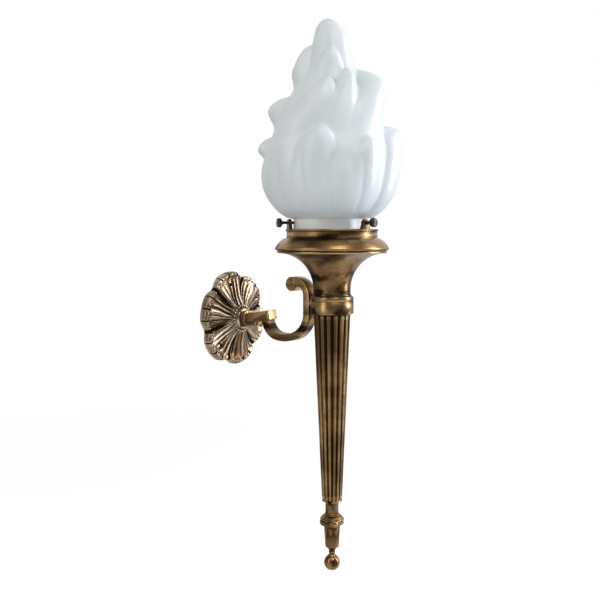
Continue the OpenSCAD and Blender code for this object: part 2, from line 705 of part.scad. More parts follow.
// Ring tag with a tongue that the earth lead is crimped to
module earth_tag() color("#c9a45c") {
    on_axis() translate([0, 0, tag_z]) difference() {
        union() {
            cylinder(r = 8.5, h = tag_t, $fn = small);
            translate([-0.9, 0, 0]) cube([1.8, wire_gallery_r + 1, tag_t]);
        }
        translate([0, 0, -cut]) cylinder(r = rod_r + fit, h = 2, $fn = small);
    }
}

// ---- lampholder and bulb ----

holder_core_z = rod_top + 0.5;
holder_rim_z = holder_z + holder_cap_h;
core_top_z = holder_rim_z - 1;
sleeve_r = bulb_cap_r + fit;
sleeve_t = 0.8;
contact_h = 2.9;
bulb_low_z = core_top_z + contact_h + run;
bulb_cap_low_z = bulb_low_z + 4;
bulb_glass_z = bulb_cap_low_z + bulb_cap_h;
bulb_mid_z = bulb_low_z + bulb_l - bulb_r;

module holder_cap() color("#9b7b45")
    on_axis() difference() {
        translate([0, 0, holder_z]) rotate_extrude($fn = smooth) polygon([
            [rod_r + fit, 0], [holder_r - 3, 0], [holder_r, 3], [holder_r, holder_cap_h],
            [holder_r - 1.5, holder_cap_h], [holder_r - 1.5, holder_floor], [rod_r + fit, holder_floor]]);
        translate([-6, wire_gallery_r - 5, holder_z - cut]) cube([12, 7.5, holder_floor + 2 * cut]);
    }

module holder_core() color("#e8e2d4")
    on_axis() difference() {
        translate([0, 0, holder_core_z])
            cylinder(r = holder_r - 1.5 - fit, h = core_top_z - holder_core_z, $fn = smooth);
        for (side = [-1, 1]) translate([side * lead_pitch, wire_gallery_r, holder_core_z - cut])
            cylinder(r = lead_r + 0.1, h = 5 + cut, $fn = small);
    }

module holder_skirt() color("#9b7b45")
    on_axis() translate([0, 0, holder_rim_z]) rotate_extrude($fn = smooth) polygon([
        [holder_r - 2, 0], [holder_r + 0.8, 0], [holder_r + 0.8, 3], [holder_r, 4],
        [holder_r, holder_skirt_h - 1],
        [holder_r - 1, holder_skirt_h], [sleeve_r + sleeve_t + fit, holder_skirt_h],
        [sleeve_r + sleeve_t + fit, holder_skirt_h - 2], [holder_r - 2, holder_skirt_h - 2]]);

module screw_sleeve() color("#c9a45c") {
    rim = bulb_glass_z - 0.5 - core_top_z;
    on_axis() translate([0, 0, core_top_z]) rotate_extrude($fn = smooth) polygon([
        [sleeve_r - 2, 0], [sleeve_r + sleeve_t, 0], [sleeve_r + sleeve_t, rim], [sleeve_r, rim],
        [sleeve_r, sleeve_t], [sleeve_r - 2, sleeve_t]]);
}

module centre_contact() color("#c9a45c")
    on_axis() translate([0, 0, core_top_z]) union() {
        cylinder(r = 4, h = 0.8, $fn = small);
        cylinder(r = 2, h = contact_h, $fn = small);
    }

module bulb_contact() color("#a9a49b")
    on_axis() translate([0, 0, bulb_low_z]) cylinder(r = 4.5, h = 1.2, $fn = small);

module bulb_insulator() color("#2b2a2c")
    on_axis() translate([0, 0, bulb_low_z + 1.2]) rotate_extrude($fn = small)
        polygon([[0, 0], [5, 0], [bulb_cap_r - 1.5, 2.8], [0, 2.8]]);

module bulb_cap() color("#b8b8b4")
    on_axis() translate([0, 0, bulb_cap_low_z]) cylinder(r = bulb_cap_r, h = bulb_cap_h, $fn = smooth);

// The bulb's glass: a straight stem that swells into a round crown
module bulb_glass() color("#f4f1e6") {
    stem = [[0, bulb_cap_r - 0.4], [0.25, bulb_cap_r + 1.5], [0.75, bulb_r - 3.4], [1, bulb_r]];
    rise = bulb_mid_z - bulb_glass_z;
    on_axis() rotate_extrude($fn = smooth) polygon(concat(
        [[0, bulb_glass_z]],
        [for (i = [0:9]) [curve(stem, i / 10), bulb_glass_z + rise * i / 10]],
        arc([0, bulb_mid_z], bulb_r, 0, 90, 16)));
}

// ---- foot ----

module foot_collar() color("#7a5a30") {
    h = foot_collar_h;
    r = column_low_r - 0.6;
    on_axis() translate([0, 0, collar_low]) rotate_extrude($fn = smooth) polygon(concat(
        [[rod_r + fit, 0], [foot_neck_r + 0.6, 0], [foot_neck_r + 0.6, 1], [foot_neck_r, 1.6],
         [foot_neck_r, h - 9]],
        arc([r - 0.4, h - 9 + (r - foot_neck_r - 0.4) * 1.2], r - foot_neck_r - 0.4, 200, 120, 6),
        [[r, h - 2.2], [r + 0.5, h - 1.4], [r + 0.5, h - 0.5], [r, h], [rod_r + fit, h]]));
}

ear_mid_z = block_low + foot_block_h - 0.72 * foot_cap_h;
stem_low_r = 0.72 * stem_r;
stem_low_h = 0.16 * foot_block_h;
stem_top_h = foot_block_h - 1.22 * foot_cap_h;

// Turned core of the foot block: slim waist, stem, flared shoulder and cap
module foot_block_section() {
    h = foot_block_h;
    r = foot_cap_r;
    lip = 0.22 * foot_cap_h;
    polygon([[0, 0], [3.4, 0], [4, 1], [3.4, 2], [3.6, 3.2], [5.2, stem_low_h - 2], [stem_low_r, stem_low_h],
        [stem_low_r, 0.45 * h], [stem_r - 0.4, stem_top_h - 0.4], [r - 1.4, h - foot_cap_h],
        [r - 1, h - foot_cap_h / 2], [r + 1.2, h - 2 * lip], [r + 1.5, h - 1.75 * lip], [r, h - 1.4 * lip],
        [r, h - lip], [stem_r, h - 0.7 * lip], [stem_r, h], [0, h]]);
}

module foot_block() color("#7a5a30") {
    on_axis() difference() {
        union() {
            translate([0, 0, block_low]) rotate_extrude($fn = smooth) foot_block_section();
            translate([0, 0, block_low + stem_low_h])
                cylinder(r1 = stem_r - 1.2, r2 = stem_r, h = stem_top_h - stem_low_h, $fn = 8);
            for (i = [0:3]) rotate([0, 0, 45 + 90 * i]) translate([ear_reach - ear_r, 0, ear_mid_z]) {
                sphere(r = ear_r, $fn = small);
                cylinder(r = ear_r, h = ear_r * 0.65, $fn = small);
            }
        }
        translate([0, 0, rod_low - 1]) cylinder(r = rod_r + fit, h = rod_grip + 1 + cut, $fn = small);
        translate([0, 0, block_low - cut]) cylinder(r = spigot_r + fit, h = spigot_l + 1 + cut, $fn = small);
    }
}

spigot_r = 2;
spigot_l = 8;

module ball_finial() color("#7a5a30") {
    on_axis() translate([0, 0, ball_z]) rotate_extrude($fn = smooth) polygon(concat(
        arc([0, 0], ball_r, -90, 52, 20),
        [[3.6, block_low - ball_z - 0.8], [3.4, block_low - ball_z], [spigot_r, block_low - ball_z],
         [spigot_r, block_low - ball_z + spigot_l], [0, block_low - ball_z + spigot_l]]));
}

// ---- wiring ----

block_out = 7.3;
block_down = 24;
block_size = [24, 6.3, 11];
terminal_pitch = 7.5;
earth_screw_up = 26;
earth_screw_out = 8;
earth_shank_r = 1.5;
earth_shank_l = 3;

module terminal_block() color("#efece2")
    difference() {
        translate([-block_size[0] / 2, -block_out, -block_down - block_size[2] / 2]) cube(block_size);
        for (i = [-1:1]) translate([terminal_pitch * i, 0, -block_down]) rotate([90, 0, 0])
            cylinder(r = 1.9, h = 4, $fn = small);
    }

module terminal_screws() color("#b9b2a0")
    for (i = [-1:1]) translate([terminal_pitch * i, -1.8, -block_down]) rotate([90, 0, 0])
        cylinder(r = 1.9 - fit, h = 2.2, $fn = small);

module earth_screw() color("#c9a45c") {
    out_rod(3.6, earth_screw_out - 2, earth_screw_out, earth_screw_up);
    out_rod(earth_shank_r, earth_screw_out - 1, earth_screw_out + earth_shank_l, earth_screw_up);
}

// Rounds each corner of a path with a small quadratic curve
function soften(p, d) = concat([p[0]],
    [for (i = [1:len(p) - 2]) let (
        a = p[i] - (p[i] - p[i - 1]) * min(d / norm(p[i] - p[i - 1]), 0.45),
        b = p[i] + (p[i + 1] - p[i]) * min(d / norm(p[i + 1] - p[i]), 0.45))
        each [for (t = [0, 0.5, 1]) a * pow(1 - t, 2) + p[i] * 2 * t * (1 - t) + b * pow(t, 2)]],
    [p[len(p) - 1]]);

// Route of a lead through the arm, in (across, distance from wall, height)
function lead_route(side) =
    let (x = side * lead_pitch)
    concat([for (p = [[wall_tail_end, 0], bar_at(collar_out + 2)]) [x, p[0], p[1]]],
        [for (p = way_round) if (p[1] < tail_z - 3 || p[0] < c1[0]) [x, p[0], p[1]]],
        [for (p = [[strip_mid, tail_z], [tail_end + 1.8, tail_z], [projection - wire_floor_r, tail_z + 6],
            [projection - wire_floor_r, ferrule_top + floor_t + 2],
            [projection - wire_gallery_r, bell_top - 4]])
            [x, p[0], p[1]]]);

function tube_dir(p, i) = let (d = p[min(i + 1, len(p) - 1)] - p[max(i - 1, 0)]) d / norm(d);

// Tube of 8 sides along a path in (across, distance from wall, height)
module lead(path) {
    n = 8;
    side = [1, 0, 0];
    points = [for (i = [0:len(path) - 1], k = [0:n - 1]) let (
        d = tube_dir(path, i),
        u = (side - d * (side * d)) / norm(side - d * (side * d)),
        v = cross(d, u),
        p = path[i] + lead_r * (u * cos(360 * k / n + 22.5) + v * sin(360 * k / n + 22.5)))
        [p[0], -p[1], p[2]]];
    rows = len(path);
    faces = concat([[for (k = [0:n - 1]) n - 1 - k]], [[for (k = [0:n - 1]) (rows - 1) * n + k]],
        [for (i = [0:rows - 2], k = [0:n - 1]) each [
            [i * n + k, i * n + (k + 1) % n, (i + 1) * n + k],
            [i * n + (k + 1) % n, (i + 1) * n + (k + 1) % n, (i + 1) * n + k]]]);
    polyhedron(points = points, faces = [for (f = faces) backwards(f)]);
}

// A live or neutral lead, from the terminal block to the lampholder's core
module supply_lead(side)
    lead(soften(concat(
        [[side * terminal_pitch, 4.2, block_size[2] / 2 - block_down + run], [side * 6, 4.2, -13],
         [side * lead_pitch, wall_tail_end - 3, -2]],
        lead_route(side), [[side * lead_pitch, projection - wire_gallery_r, holder_core_z + 4.5]]), 1.6));

module live_lead() color("#7a4a26") supply_lead(-1);

module neutral_lead() color("#3f6d94") supply_lead(1);

// The earth lead, from the earth screw's head to the tag under the gallery nut
module earth_lead() color("#6e8f3a")
    lead(soften(concat(
        [[0, earth_screw_out - 1, earth_screw_up - 4], [0, 5.4, 16], [0, wall_tail_end - 3, 2]],
        lead_route(0), [[0, projection - wire_gallery_r, tag_z]]), 1.6));

rosette();
hub_collar();
arm();
wall_washer();
wall_nut();
saddle_washer();
tail_nut();
ferrule();
column();
bell_cup();
gallery();
thumb_screw(1);  // thumb_screw_1
thumb_screw(2);  // thumb_screw_2
thumb_screw(3);  // thumb_screw_3
glass_neck();
glass_bowl();
glass_crown();
tie_rod();
gallery_washer();
earth_tag();
gallery_nut();
holder_cap();
holder_core();
holder_skirt();
screw_sleeve();
centre_contact();
bulb_glass();
bulb_cap();
bulb_insulator();
bulb_contact();
foot_collar();
foot_block();
ball_finial();
terminal_block();
terminal_screws();
earth_screw();
live_lead();
neutral_lead();
earth_lead();
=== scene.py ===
# %% [markdown]
# # A torch wall light, dressed in cells
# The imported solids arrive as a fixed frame. Pieces that the eye rests on are modelled again, finer, in
# the same place, and every piece gets a finish that is worked out from its own surface.

# %% Load the frame
import bpy
import math
from mathutils import Matrix, Vector


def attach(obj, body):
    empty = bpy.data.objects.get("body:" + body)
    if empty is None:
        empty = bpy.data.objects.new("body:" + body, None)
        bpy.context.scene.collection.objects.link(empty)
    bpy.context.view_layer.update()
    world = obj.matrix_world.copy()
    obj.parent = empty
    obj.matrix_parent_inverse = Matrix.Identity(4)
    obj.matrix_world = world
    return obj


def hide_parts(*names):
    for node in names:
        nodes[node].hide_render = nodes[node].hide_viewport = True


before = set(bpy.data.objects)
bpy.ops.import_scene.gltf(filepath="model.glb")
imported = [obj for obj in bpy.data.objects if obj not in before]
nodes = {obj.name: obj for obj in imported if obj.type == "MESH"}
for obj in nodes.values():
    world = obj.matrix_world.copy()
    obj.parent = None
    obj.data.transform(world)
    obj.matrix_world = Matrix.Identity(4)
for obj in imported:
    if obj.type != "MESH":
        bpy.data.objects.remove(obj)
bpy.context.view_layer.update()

print("nodes in the frame:", len(nodes))

# %% [markdown]
# ## The camera
# The photograph was taken from the left of the light, level, a little above the hub. The upright lines
# stay upright, so the camera is level and the picture is shifted down instead of tilted. The lens and the
# place were found from the neck of the glass, which is 80 mm wide, and from the nearer and farther ends
# of the light.

# %% Camera
AXIS_Y = -0.150
TORCH = Vector((0, AXIS_Y, 0))
CAMERA_TURN = -55
camera_data = bpy.data.cameras.new("photo_camera")
camera_data.sensor_width = 36
camera_data.lens = 54.54
camera_data.shift_y = -0.1133
camera = bpy.data.objects.new("photo_camera", camera_data)
camera.location = (-0.8751, -0.7180, 0.106)
camera.rotation_euler = (math.radians(90), 0, math.radians(CAMERA_TURN))
bpy.context.scene.collection.objects.link(camera)
bpy.context.scene.camera = camera
bpy.context.scene.view_settings.view_transform = "Standard"
print("camera at", [round(v, 3) for v in camera.location])

# %% [markdown]
# ## Small tools for modelling
# Operators act on whatever is selected, so each step starts from nothing selected. A finished piece has
# its object at the origin and its place in the mesh, as the frame's own nodes do. Sizes are written in
# millimetres, and mm() turns them into Blender's metres. A piece is cut by a tool, as with a file or a
# drill.

# %% Selecting and settling
def start_fresh():
    if bpy.context.object and bpy.context.object.mode != "OBJECT":
        bpy.ops.object.mode_set(mode="OBJECT")
    bpy.ops.object.select_all(action="DESELECT")


def pick(piece):
    start_fresh()
    piece.select_set(True)
    bpy.context.view_layer.objects.active = piece


def edit_all(piece):
    pick(piece)
    bpy.ops.object.mode_set(mode="EDIT")
    bpy.ops.mesh.select_all(action="SELECT")


def leave_edit():
    bpy.ops.object.mode_set(mode="OBJECT")


def settle(piece):
    pick(piece)
    bpy.ops.object.transform_apply(location=True, rotation=True, scale=True)


def select_in(piece, kind, test):
    pick(piece)
    bpy.context.tool_settings.mesh_select_mode = (kind == "VERT", kind == "EDGE", kind == "FACE")
    bpy.ops.object.mode_set(mode="EDIT")
    bpy.ops.mesh.select_all(action="DESELECT")
    leave_edit()
    members = {"VERT": piece.data.vertices, "EDGE": piece.data.edges, "FACE": piece.data.polygons}[kind]
    for member in members:
        member.select = test(member)
    bpy.ops.object.mode_set(mode="EDIT")


def mm(*numbers):
    return tuple(n / 1000 for n in numbers)


def new_piece(name):
    piece = bpy.context.object
    piece.name = name
    piece.data.name = name
    return piece


def place(piece, matrix):
    piece.matrix_world = matrix @ piece.matrix_world
    settle(piece)


def copy_of(piece, name):
    twin = piece.copy()
    twin.data = piece.data.copy()
    twin.name = name
    twin.data.name = name
    bpy.context.scene.collection.objects.link(twin)
    return twin


def join(pieces, name):
    start_fresh()
    for piece in pieces:
        piece.select_set(True)
    bpy.context.view_layer.objects.active = pieces[0]
    bpy.ops.object.join()
    return new_piece(name)


def tidy_mesh(piece, distance=0.000004):
    edit_all(piece)
    bpy.ops.mesh.remove_doubles(threshold=distance)
    bpy.ops.mesh.normals_make_consistent(inside=False)
    leave_edit()


def smooth(piece, degrees=40):
    pick(piece)
    bpy.ops.object.shade_smooth_by_angle(angle=math.radians(degrees))


def soften_edges(piece, width, degrees=35, segments=3):
    pick(piece)
    bevel = piece.modifiers.new("soft_edges", "BEVEL")
    bevel.width = width / 1000
    bevel.segments = segments
    bevel.limit_method = "ANGLE"
    bevel.angle_limit = math.radians(degrees)
    bpy.ops.object.modifier_apply(modifier="soft_edges")


def carve(piece, tool, how="DIFFERENCE"):
    pick(piece)
    cut = piece.modifiers.new("carve", "BOOLEAN")
    cut.operation = how
    cut.solver = "EXACT"
    cut.object = tool
    bpy.ops.object.modifier_apply(modifier="carve")
    bpy.data.objects.remove(tool)

# %% [markdown]
# ## A lathe
# Most of the torch was turned on a lathe. The same is done here: one point is extruded from place to
# place along half an outline, and the outline is spun once round the torch axis.

# %% The lathe
def arc(middle, radius, start, end, steps):
    turns = [math.radians(start + (end - start) * i / steps) for i in range(steps + 1)]
    return [(middle[0] + radius * math.cos(a), middle[1] + radius * math.sin(a)) for a in turns]


def draw_outline(name, points):
    start_fresh()
    bpy.ops.mesh.primitive_plane_add(size=0.001, location=(0, 0, 0))
    piece = new_piece(name)
    bpy.context.tool_settings.mesh_select_mode = (True, False, False)
    bpy.ops.object.mode_set(mode="EDIT")
    bpy.ops.mesh.select_all(action="SELECT")
    bpy.ops.mesh.merge(type="CENTER")
    here = Vector(points[0])
    bpy.ops.transform.translate(value=here)
    for point in points[1:]:
        there = Vector(point)
        bpy.ops.mesh.extrude_vertices_move(TRANSFORM_OT_translate={"value": there - here})
        here = there
    leave_edit()
    return piece


def turn(name, outline, sides=160, closed=True):
    if closed:
        outline = outline + outline[:1]
    piece = draw_outline(name, [(r / 1000, AXIS_Y, z / 1000) for r, z in outline])
    edit_all(piece)
    bpy.ops.mesh.spin(steps=sides, angle=math.tau, center=(0, AXIS_Y, 0), axis=(0, 0, 1))
    leave_edit()
    tidy_mesh(piece)
    smooth(piece)
    return piece

# %% [markdown]
# ## Finishes
# The brass was darkened with a brown antique patina and then rubbed back, so it is dark in the hollows
# and bright on what a cloth reaches. It could be painted by hand, but that one effect serves every brass
# piece, so it is a node group: it takes three browns and gives a colour, a roughness and a height. First
# come small helpers that add a node, join two sockets, stretch a value, mix two colours and read noise.

# %% Node helpers
def add(tree, kind, **settings):
    node = tree.nodes.new(kind)
    for key, value in settings.items():
        setattr(node, key, value)
    return node


def wire(tree, source, target):
    if isinstance(source, (int, float, tuple)):
        target.default_value = source
    else:
        tree.links.new(source, target)


def remap(tree, value, low, high, to_low=0.0, to_high=1.0):
    node = add(tree, "ShaderNodeMapRange", clamp=True)
    wire(tree, value, node.inputs["Value"])
    for socket, number in (("From Min", low), ("From Max", high), ("To Min", to_low), ("To Max", to_high)):
        wire(tree, number, node.inputs[socket])
    return node.outputs["Result"]


def maths(tree, operation, a, b=0.0, clamp=False):
    node = add(tree, "ShaderNodeMath", operation=operation, use_clamp=clamp)
    wire(tree, a, node.inputs[0])
    wire(tree, b, node.inputs[1])
    return node.outputs[0]


def blend(tree, share, a, b):
    node = add(tree, "ShaderNodeMix", data_type="RGBA")
    wire(tree, share, node.inputs[0])
    wire(tree, a, node.inputs[6])
    wire(tree, b, node.inputs[7])
    return node.outputs[2]


def grain(tree, vector, scale, detail=4.0, roughness=0.55):
    node = add(tree, "ShaderNodeTexNoise")
    wire(tree, vector, node.inputs["Vector"])
    wire(tree, scale, node.inputs["Scale"])
    node.inputs["Detail"].default_value = detail
    node.inputs["Roughness"].default_value = roughness
    return node.outputs["Fac"]


def new_group(name, sockets_in, sockets_out):
    group = bpy.data.node_groups.new(name, "ShaderNodeTree")
    kinds = {"value": "NodeSocketFloat", "colour": "NodeSocketColor", "vector": "NodeSocketVector"}
    for label, kind in sockets_in:
        group.interface.new_socket(name=label, in_out="INPUT", socket_type=kinds[kind])
    for label, kind in sockets_out:
        group.interface.new_socket(name=label, in_out="OUTPUT", socket_type=kinds[kind])
    return group, add(group, "NodeGroupInput"), add(group, "NodeGroupOutput")

# %% [markdown]
# Large clouds and patches decide where the cloth rubbed, small specks leave pits, ambient occlusion finds
# the hollows and pointiness finds the edges. Each is a mask from 0 to 1, and a weighed sum of masks says
# how rubbed and how grimy a point is. That is easier to tune than one long chain of mixes.

# %% The patina group
CLOUDS, PATCHES, SPECKS = (0.38, 0.64), (0.40, 0.60), (0.45, 0.70)
SHELTERED, EDGES = (0.45, 0.95), (0.505, 0.56)
PATCH_SCALE, SPECK_SCALE = 0.4, 14
ROUGH_BASE = 0.21


def weighed_sum(tree, pairs, clamp=False):
    total = maths(tree, "MULTIPLY", *pairs[0])
    for value, weight in pairs[1:]:
        total = maths(tree, "ADD", total, maths(tree, "MULTIPLY", value, weight), clamp)
    return total


patina, given, result = new_group(
    "patina",
    [("Vector", "vector"), ("Scale", "value"), ("Hollow", "value"), ("Lines", "value"), ("Shade", "value"),
     ("Body", "colour"), ("Rubbed", "colour"), ("Dark", "colour")],
    [("Colour", "colour"), ("Roughness", "value"), ("Height", "value")])
spot, scale, lines = (given.outputs[label] for label in ("Vector", "Scale", "Lines"))
clouds = remap(patina, grain(patina, spot, scale, 5, 0.6), *CLOUDS)
patches = remap(patina, grain(patina, spot, maths(patina, "MULTIPLY", scale, PATCH_SCALE), 3, 0.5), *PATCHES)
specks = grain(patina, spot, maths(patina, "MULTIPLY", scale, SPECK_SCALE), 3)
shelter = add(patina, "ShaderNodeAmbientOcclusion", samples=8)
wire(patina, given.outputs["Hollow"], shelter.inputs["Distance"])
hollow = remap(patina, shelter.outputs["AO"], *SHELTERED, 1.0, 0.0)
edge = remap(patina, add(patina, "ShaderNodeNewGeometry").outputs["Pointiness"], *EDGES)
polished = maths(patina, "MULTIPLY", clouds, patches)
rubbed = weighed_sum(patina, [(polished, 0.45), (edge, 0.7), (lines, 0.5)], True)
bare = blend(patina, rubbed, given.outputs["Body"], given.outputs["Rubbed"])
grime = weighed_sum(patina, [
    (remap(patina, specks, *SPECKS), 0.18), (maths(patina, "SUBTRACT", 1.0, patches), 0.42),
    (hollow, 0.85), (given.outputs["Shade"], 1.0)], True)
rough = weighed_sum(patina, [(clouds, 0.10), (grime, 0.20)])
height = weighed_sum(patina, [(specks, 0.25), (clouds, 0.2), (lines, 0.5)])
wire(patina, blend(patina, grime, bare, given.outputs["Dark"]), result.inputs["Colour"])
wire(patina, maths(patina, "ADD", rough, ROUGH_BASE), result.inputs["Roughness"])
wire(patina, height, result.inputs["Height"])
print("patina nodes:", len(patina.nodes))

# %% [markdown]
# Turned brass keeps the fine rings of the tool and the brush. Noise that changes mostly with height gives
# rings, and noise that changes mostly with the turn round the axis gives streaks along a column. Both
# come from one group: it measures the turn and the height about an axis, lays the turn on a circle so
# that there is no seam, stretches both and reads noise there. Where the coarse rings are low, the group
# also gives soft dark bands as its Shade. These bands are painted reflection, standing in for the dim room
# that a turned surface mirrors.

# %% The tool lines and painted reflection bands group
COARSE, FINE, DARK_REFLECTION_BANDS = (0.36, 0.66), (0.3, 0.7), (0.0, 0.5)
REFLECTION_BAND_SHADE = 0.72
tool_rings_and_reflection_bands, given, result = new_group(
    "tool_rings_and_reflection_bands", [("Vector", "vector"), ("Round", "value"), ("Along", "value")],
    [("Lines", "value"), ("Shade", "value")])


def turn_and_height(tree, vector):
    parts = add(tree, "ShaderNodeSeparateXYZ")
    wire(tree, vector, parts.inputs[0])
    return maths(tree, "ARCTAN2", parts.outputs[1], parts.outputs[0]), parts.outputs[2]


turned, raised = turn_and_height(tool_rings_and_reflection_bands, given.outputs["Vector"])
where = add(tool_rings_and_reflection_bands, "ShaderNodeCombineXYZ")
for slot, wave in ((0, "COSINE"), (1, "SINE")):
    on_circle = maths(tool_rings_and_reflection_bands, wave, turned)
    wire(tool_rings_and_reflection_bands, maths(tool_rings_and_reflection_bands, "MULTIPLY", on_circle, given.outputs["Round"]), where.inputs[slot])
wire(tool_rings_and_reflection_bands, maths(tool_rings_and_reflection_bands, "MULTIPLY", raised, given.outputs["Along"]), where.inputs[2])
coarse = remap(tool_rings_and_reflection_bands, grain(tool_rings_and_reflection_bands, where.outputs[0], 1.0, 2, 0.5), *COARSE)
fine = remap(tool_rings_and_reflection_bands, grain(tool_rings_and_reflection_bands, where.outputs[0], 5.0, 2, 0.5), *FINE, 0.7, 1.0)
# painted reflection: dark bands where the coarse rings are low, standing in for a mirrored dim room
dark_reflection_mask = remap(tool_rings_and_reflection_bands, coarse, *DARK_REFLECTION_BANDS, 1.0, 0.0)
wire(tool_rings_and_reflection_bands, maths(tool_rings_and_reflection_bands, "MULTIPLY", coarse, fine), result.inputs["Lines"])
wire(tool_rings_and_reflection_bands, maths(tool_rings_and_reflection_bands, "MULTIPLY", dark_reflection_mask, REFLECTION_BAND_SHADE), result.inputs["Shade"])
print("tool line nodes:", len(tool_rings_and_reflection_bands.nodes))

# %% [markdown]
# A material starts with the shader, its output and the place on the piece. The brass puts the patina in
# it, adds the tool lines and the painted dark reflection bands where a piece was turned, darkens the
# bottoms of the flutes, and can read masks that were stored on a mesh. One function makes them all, so
# they stay one family.

# %% Brass finishes
def start_material(name):
    material = bpy.data.materials.new(name)
    material.use_nodes = True
    tree = material.node_tree
    tree.nodes.clear()
    shader = add(tree, "ShaderNodeBsdfPrincipled")
    output = add(tree, "ShaderNodeOutputMaterial")
    tree.links.new(shader.outputs[0], output.inputs[0])
    return material, tree, shader, add(tree, "ShaderNodeTexCoord").outputs["Object"]


def about_torch(tree, vector):
    shift = add(tree, "ShaderNodeMapping")
    shift.inputs["Location"].default_value = (0, -AXIS_Y, 0)
    wire(tree, vector, shift.inputs["Vector"])
    return shift.outputs[0]


def bump(tree, shader, height, depth):
    node = add(tree, "ShaderNodeBump")
    node.inputs["Strength"].default_value = 1.0
    node.inputs["Distance"].default_value = depth
    wire(tree, height, node.inputs["Height"])
    wire(tree, node.outputs[0], shader.inputs["Normal"])


BODY = (0.128, 0.060, 0.0195, 1)
RUBBED = (0.66, 0.44, 0.205, 1)
DARK = (0.016, 0.008, 0.004, 1)
PATINA_DEPTH = 0.00012
FLUTES = 16


def flute_shade(tree, vector):
    turned = turn_and_height(tree, vector)[0]
    wave = maths(tree, "COSINE", maths(tree, "MULTIPLY", turned, float(FLUTES)))
    return remap(tree, wave, 0.3, -0.9, 0.0, 0.75)


def brass(name, scale, hollow, rings_and_bands=None, body=BODY, rubbed=RUBBED, dark=DARK, fluted=False, masks=()):
    material, tree, shader, vector = start_material(name)
    finish = add(tree, "ShaderNodeGroup", node_tree=patina)
    wire(tree, vector, finish.inputs["Vector"])
    settings = {"Scale": float(scale), "Hollow": hollow, "Body": body, "Rubbed": rubbed, "Dark": dark}
    for label, value in settings.items():
        finish.inputs[label].default_value = value
    if rings_and_bands:
        marks = add(tree, "ShaderNodeGroup", node_tree=tool_rings_and_reflection_bands)
        axis_vector = about_torch(tree, vector)
        wire(tree, axis_vector, marks.inputs["Vector"])
        marks.inputs["Round"].default_value, marks.inputs["Along"].default_value = rings_and_bands
        wire(tree, marks.outputs["Lines"], finish.inputs["Lines"])
        # turned pieces take the painted dark reflection bands as their Shade
        shade = flute_shade(tree, axis_vector) if fluted else marks.outputs["Shade"]
        wire(tree, shade, finish.inputs["Shade"])
    for label, mask in zip(("Lines", "Shade"), masks):
        stored = add(tree, "ShaderNodeAttribute", attribute_name=mask)
        wire(tree, stored.outputs["Fac"], finish.inputs[label])
    wire(tree, finish.outputs["Colour"], shader.inputs["Base Color"])
    wire(tree, finish.outputs["Roughness"], shader.inputs["Roughness"])
    shader.inputs["Metallic"].default_value = 1.0
    bump(tree, shader, finish.outputs["Height"], PATINA_DEPTH)
    return material

# %% [markdown]
# The same brass looks different where it was turned, fluted, cast or drawn, and the holder, the screws
# and the steel are other metals with the same kind of wear. Each is one call with its own scale of
# clouds, reach of the hollows, tool lines and three colours: body, rubbed and dark.

# %% The metals
turned_brass = brass("turned_antique_brass", 30, 0.004, (0.9, 70.0))
fluted_brass = brass("fluted_antique_brass", 40, 0.003, (9.0, 6.0), fluted=True)
cast_brass = brass("cast_antique_brass", 70, 0.004)
arm_brass = brass("brushed_antique_brass", 60, 0.003, (1.0, 90.0))
holder_brass = brass("lampholder_brass", 60, 0.002, (0.3, 500.0), (0.42, 0.29, 0.13, 1), (0.75, 0.58, 0.3, 1),
                     (0.09, 0.05, 0.02, 1))
# painted shade: a near-black brass for the lugs, standing in for the shade they stand in
lug_brass = brass("painted_shade_lug_brass", 90, 0.003, None, (0.06, 0.036, 0.018, 1), (0.25, 0.17, 0.09, 1))
bare_brass = brass("bare_brass", 80, 0.001, None, (0.62, 0.44, 0.18, 1), (0.85, 0.68, 0.36, 1),
                   (0.2, 0.12, 0.04, 1))
black_screw = brass("blackened_screw", 120, 0.001, None, (0.03, 0.028, 0.027, 1), (0.16, 0.13, 0.10, 1),
                    (0.008, 0.007, 0.007, 1))
zinc = brass("zinc_plated_steel", 150, 0.001, None, (0.50, 0.50, 0.48, 1), (0.78, 0.78, 0.76, 1),
             (0.16, 0.15, 0.13, 1))
aluminium = brass("bulb_aluminium", 150, 0.001, None, (0.62, 0.62, 0.60, 1), (0.85, 0.85, 0.84, 1),
                  (0.3, 0.3, 0.3, 1))
print("metals:", len(bpy.data.materials))

# %% [markdown]
# The flame is pressed glass with an etched satin skin. Light goes in, is scattered and comes out softly,
# so it looks almost like porcelain with a cool tint. A pale body with a little rough transmission gives
# that faster than true scattering would. The neck is painted near white, a painted glow that stands in
# for the light it scatters, where the lampholder inside would leave it in shade.

# %% Satin glass
PAINTED_GLOW_GLASS = (0.93, 0.96, 0.97, 1)
PAINTED_GLOW_FADE = 0.003


def satin_glass(name, tint, through, roughness, painted_glow_below=None):
    material, tree, shader, vector = start_material(name)
    cloud = remap(tree, grain(tree, vector, 22.0, 4, 0.6), 0.3, 0.7)
    sand = grain(tree, vector, 900.0, 2, 0.5)
    cool = tuple(c * 0.94 for c in tint[:3]) + (1,)
    colour = blend(tree, cloud, cool, tint)
    if painted_glow_below:
        height = add(tree, "ShaderNodeSeparateXYZ")
        wire(tree, vector, height.inputs[0])
        # painted glow: below this height the glass is lifted towards near white
        pale = remap(tree, height.outputs[2], painted_glow_below + PAINTED_GLOW_FADE, painted_glow_below - PAINTED_GLOW_FADE)
        colour = blend(tree, pale, colour, PAINTED_GLOW_GLASS)
    wire(tree, colour, shader.inputs["Base Color"])
    wire(tree, remap(tree, sand, 0.3, 0.7, roughness - 0.05, roughness + 0.06), shader.inputs["Roughness"])
    shader.inputs["IOR"].default_value = 1.48
    shader.inputs["Transmission Weight"].default_value = through
    shader.inputs["Specular IOR Level"].default_value = 0.4
    bump(tree, shader, sand, 0.00003)
    return material


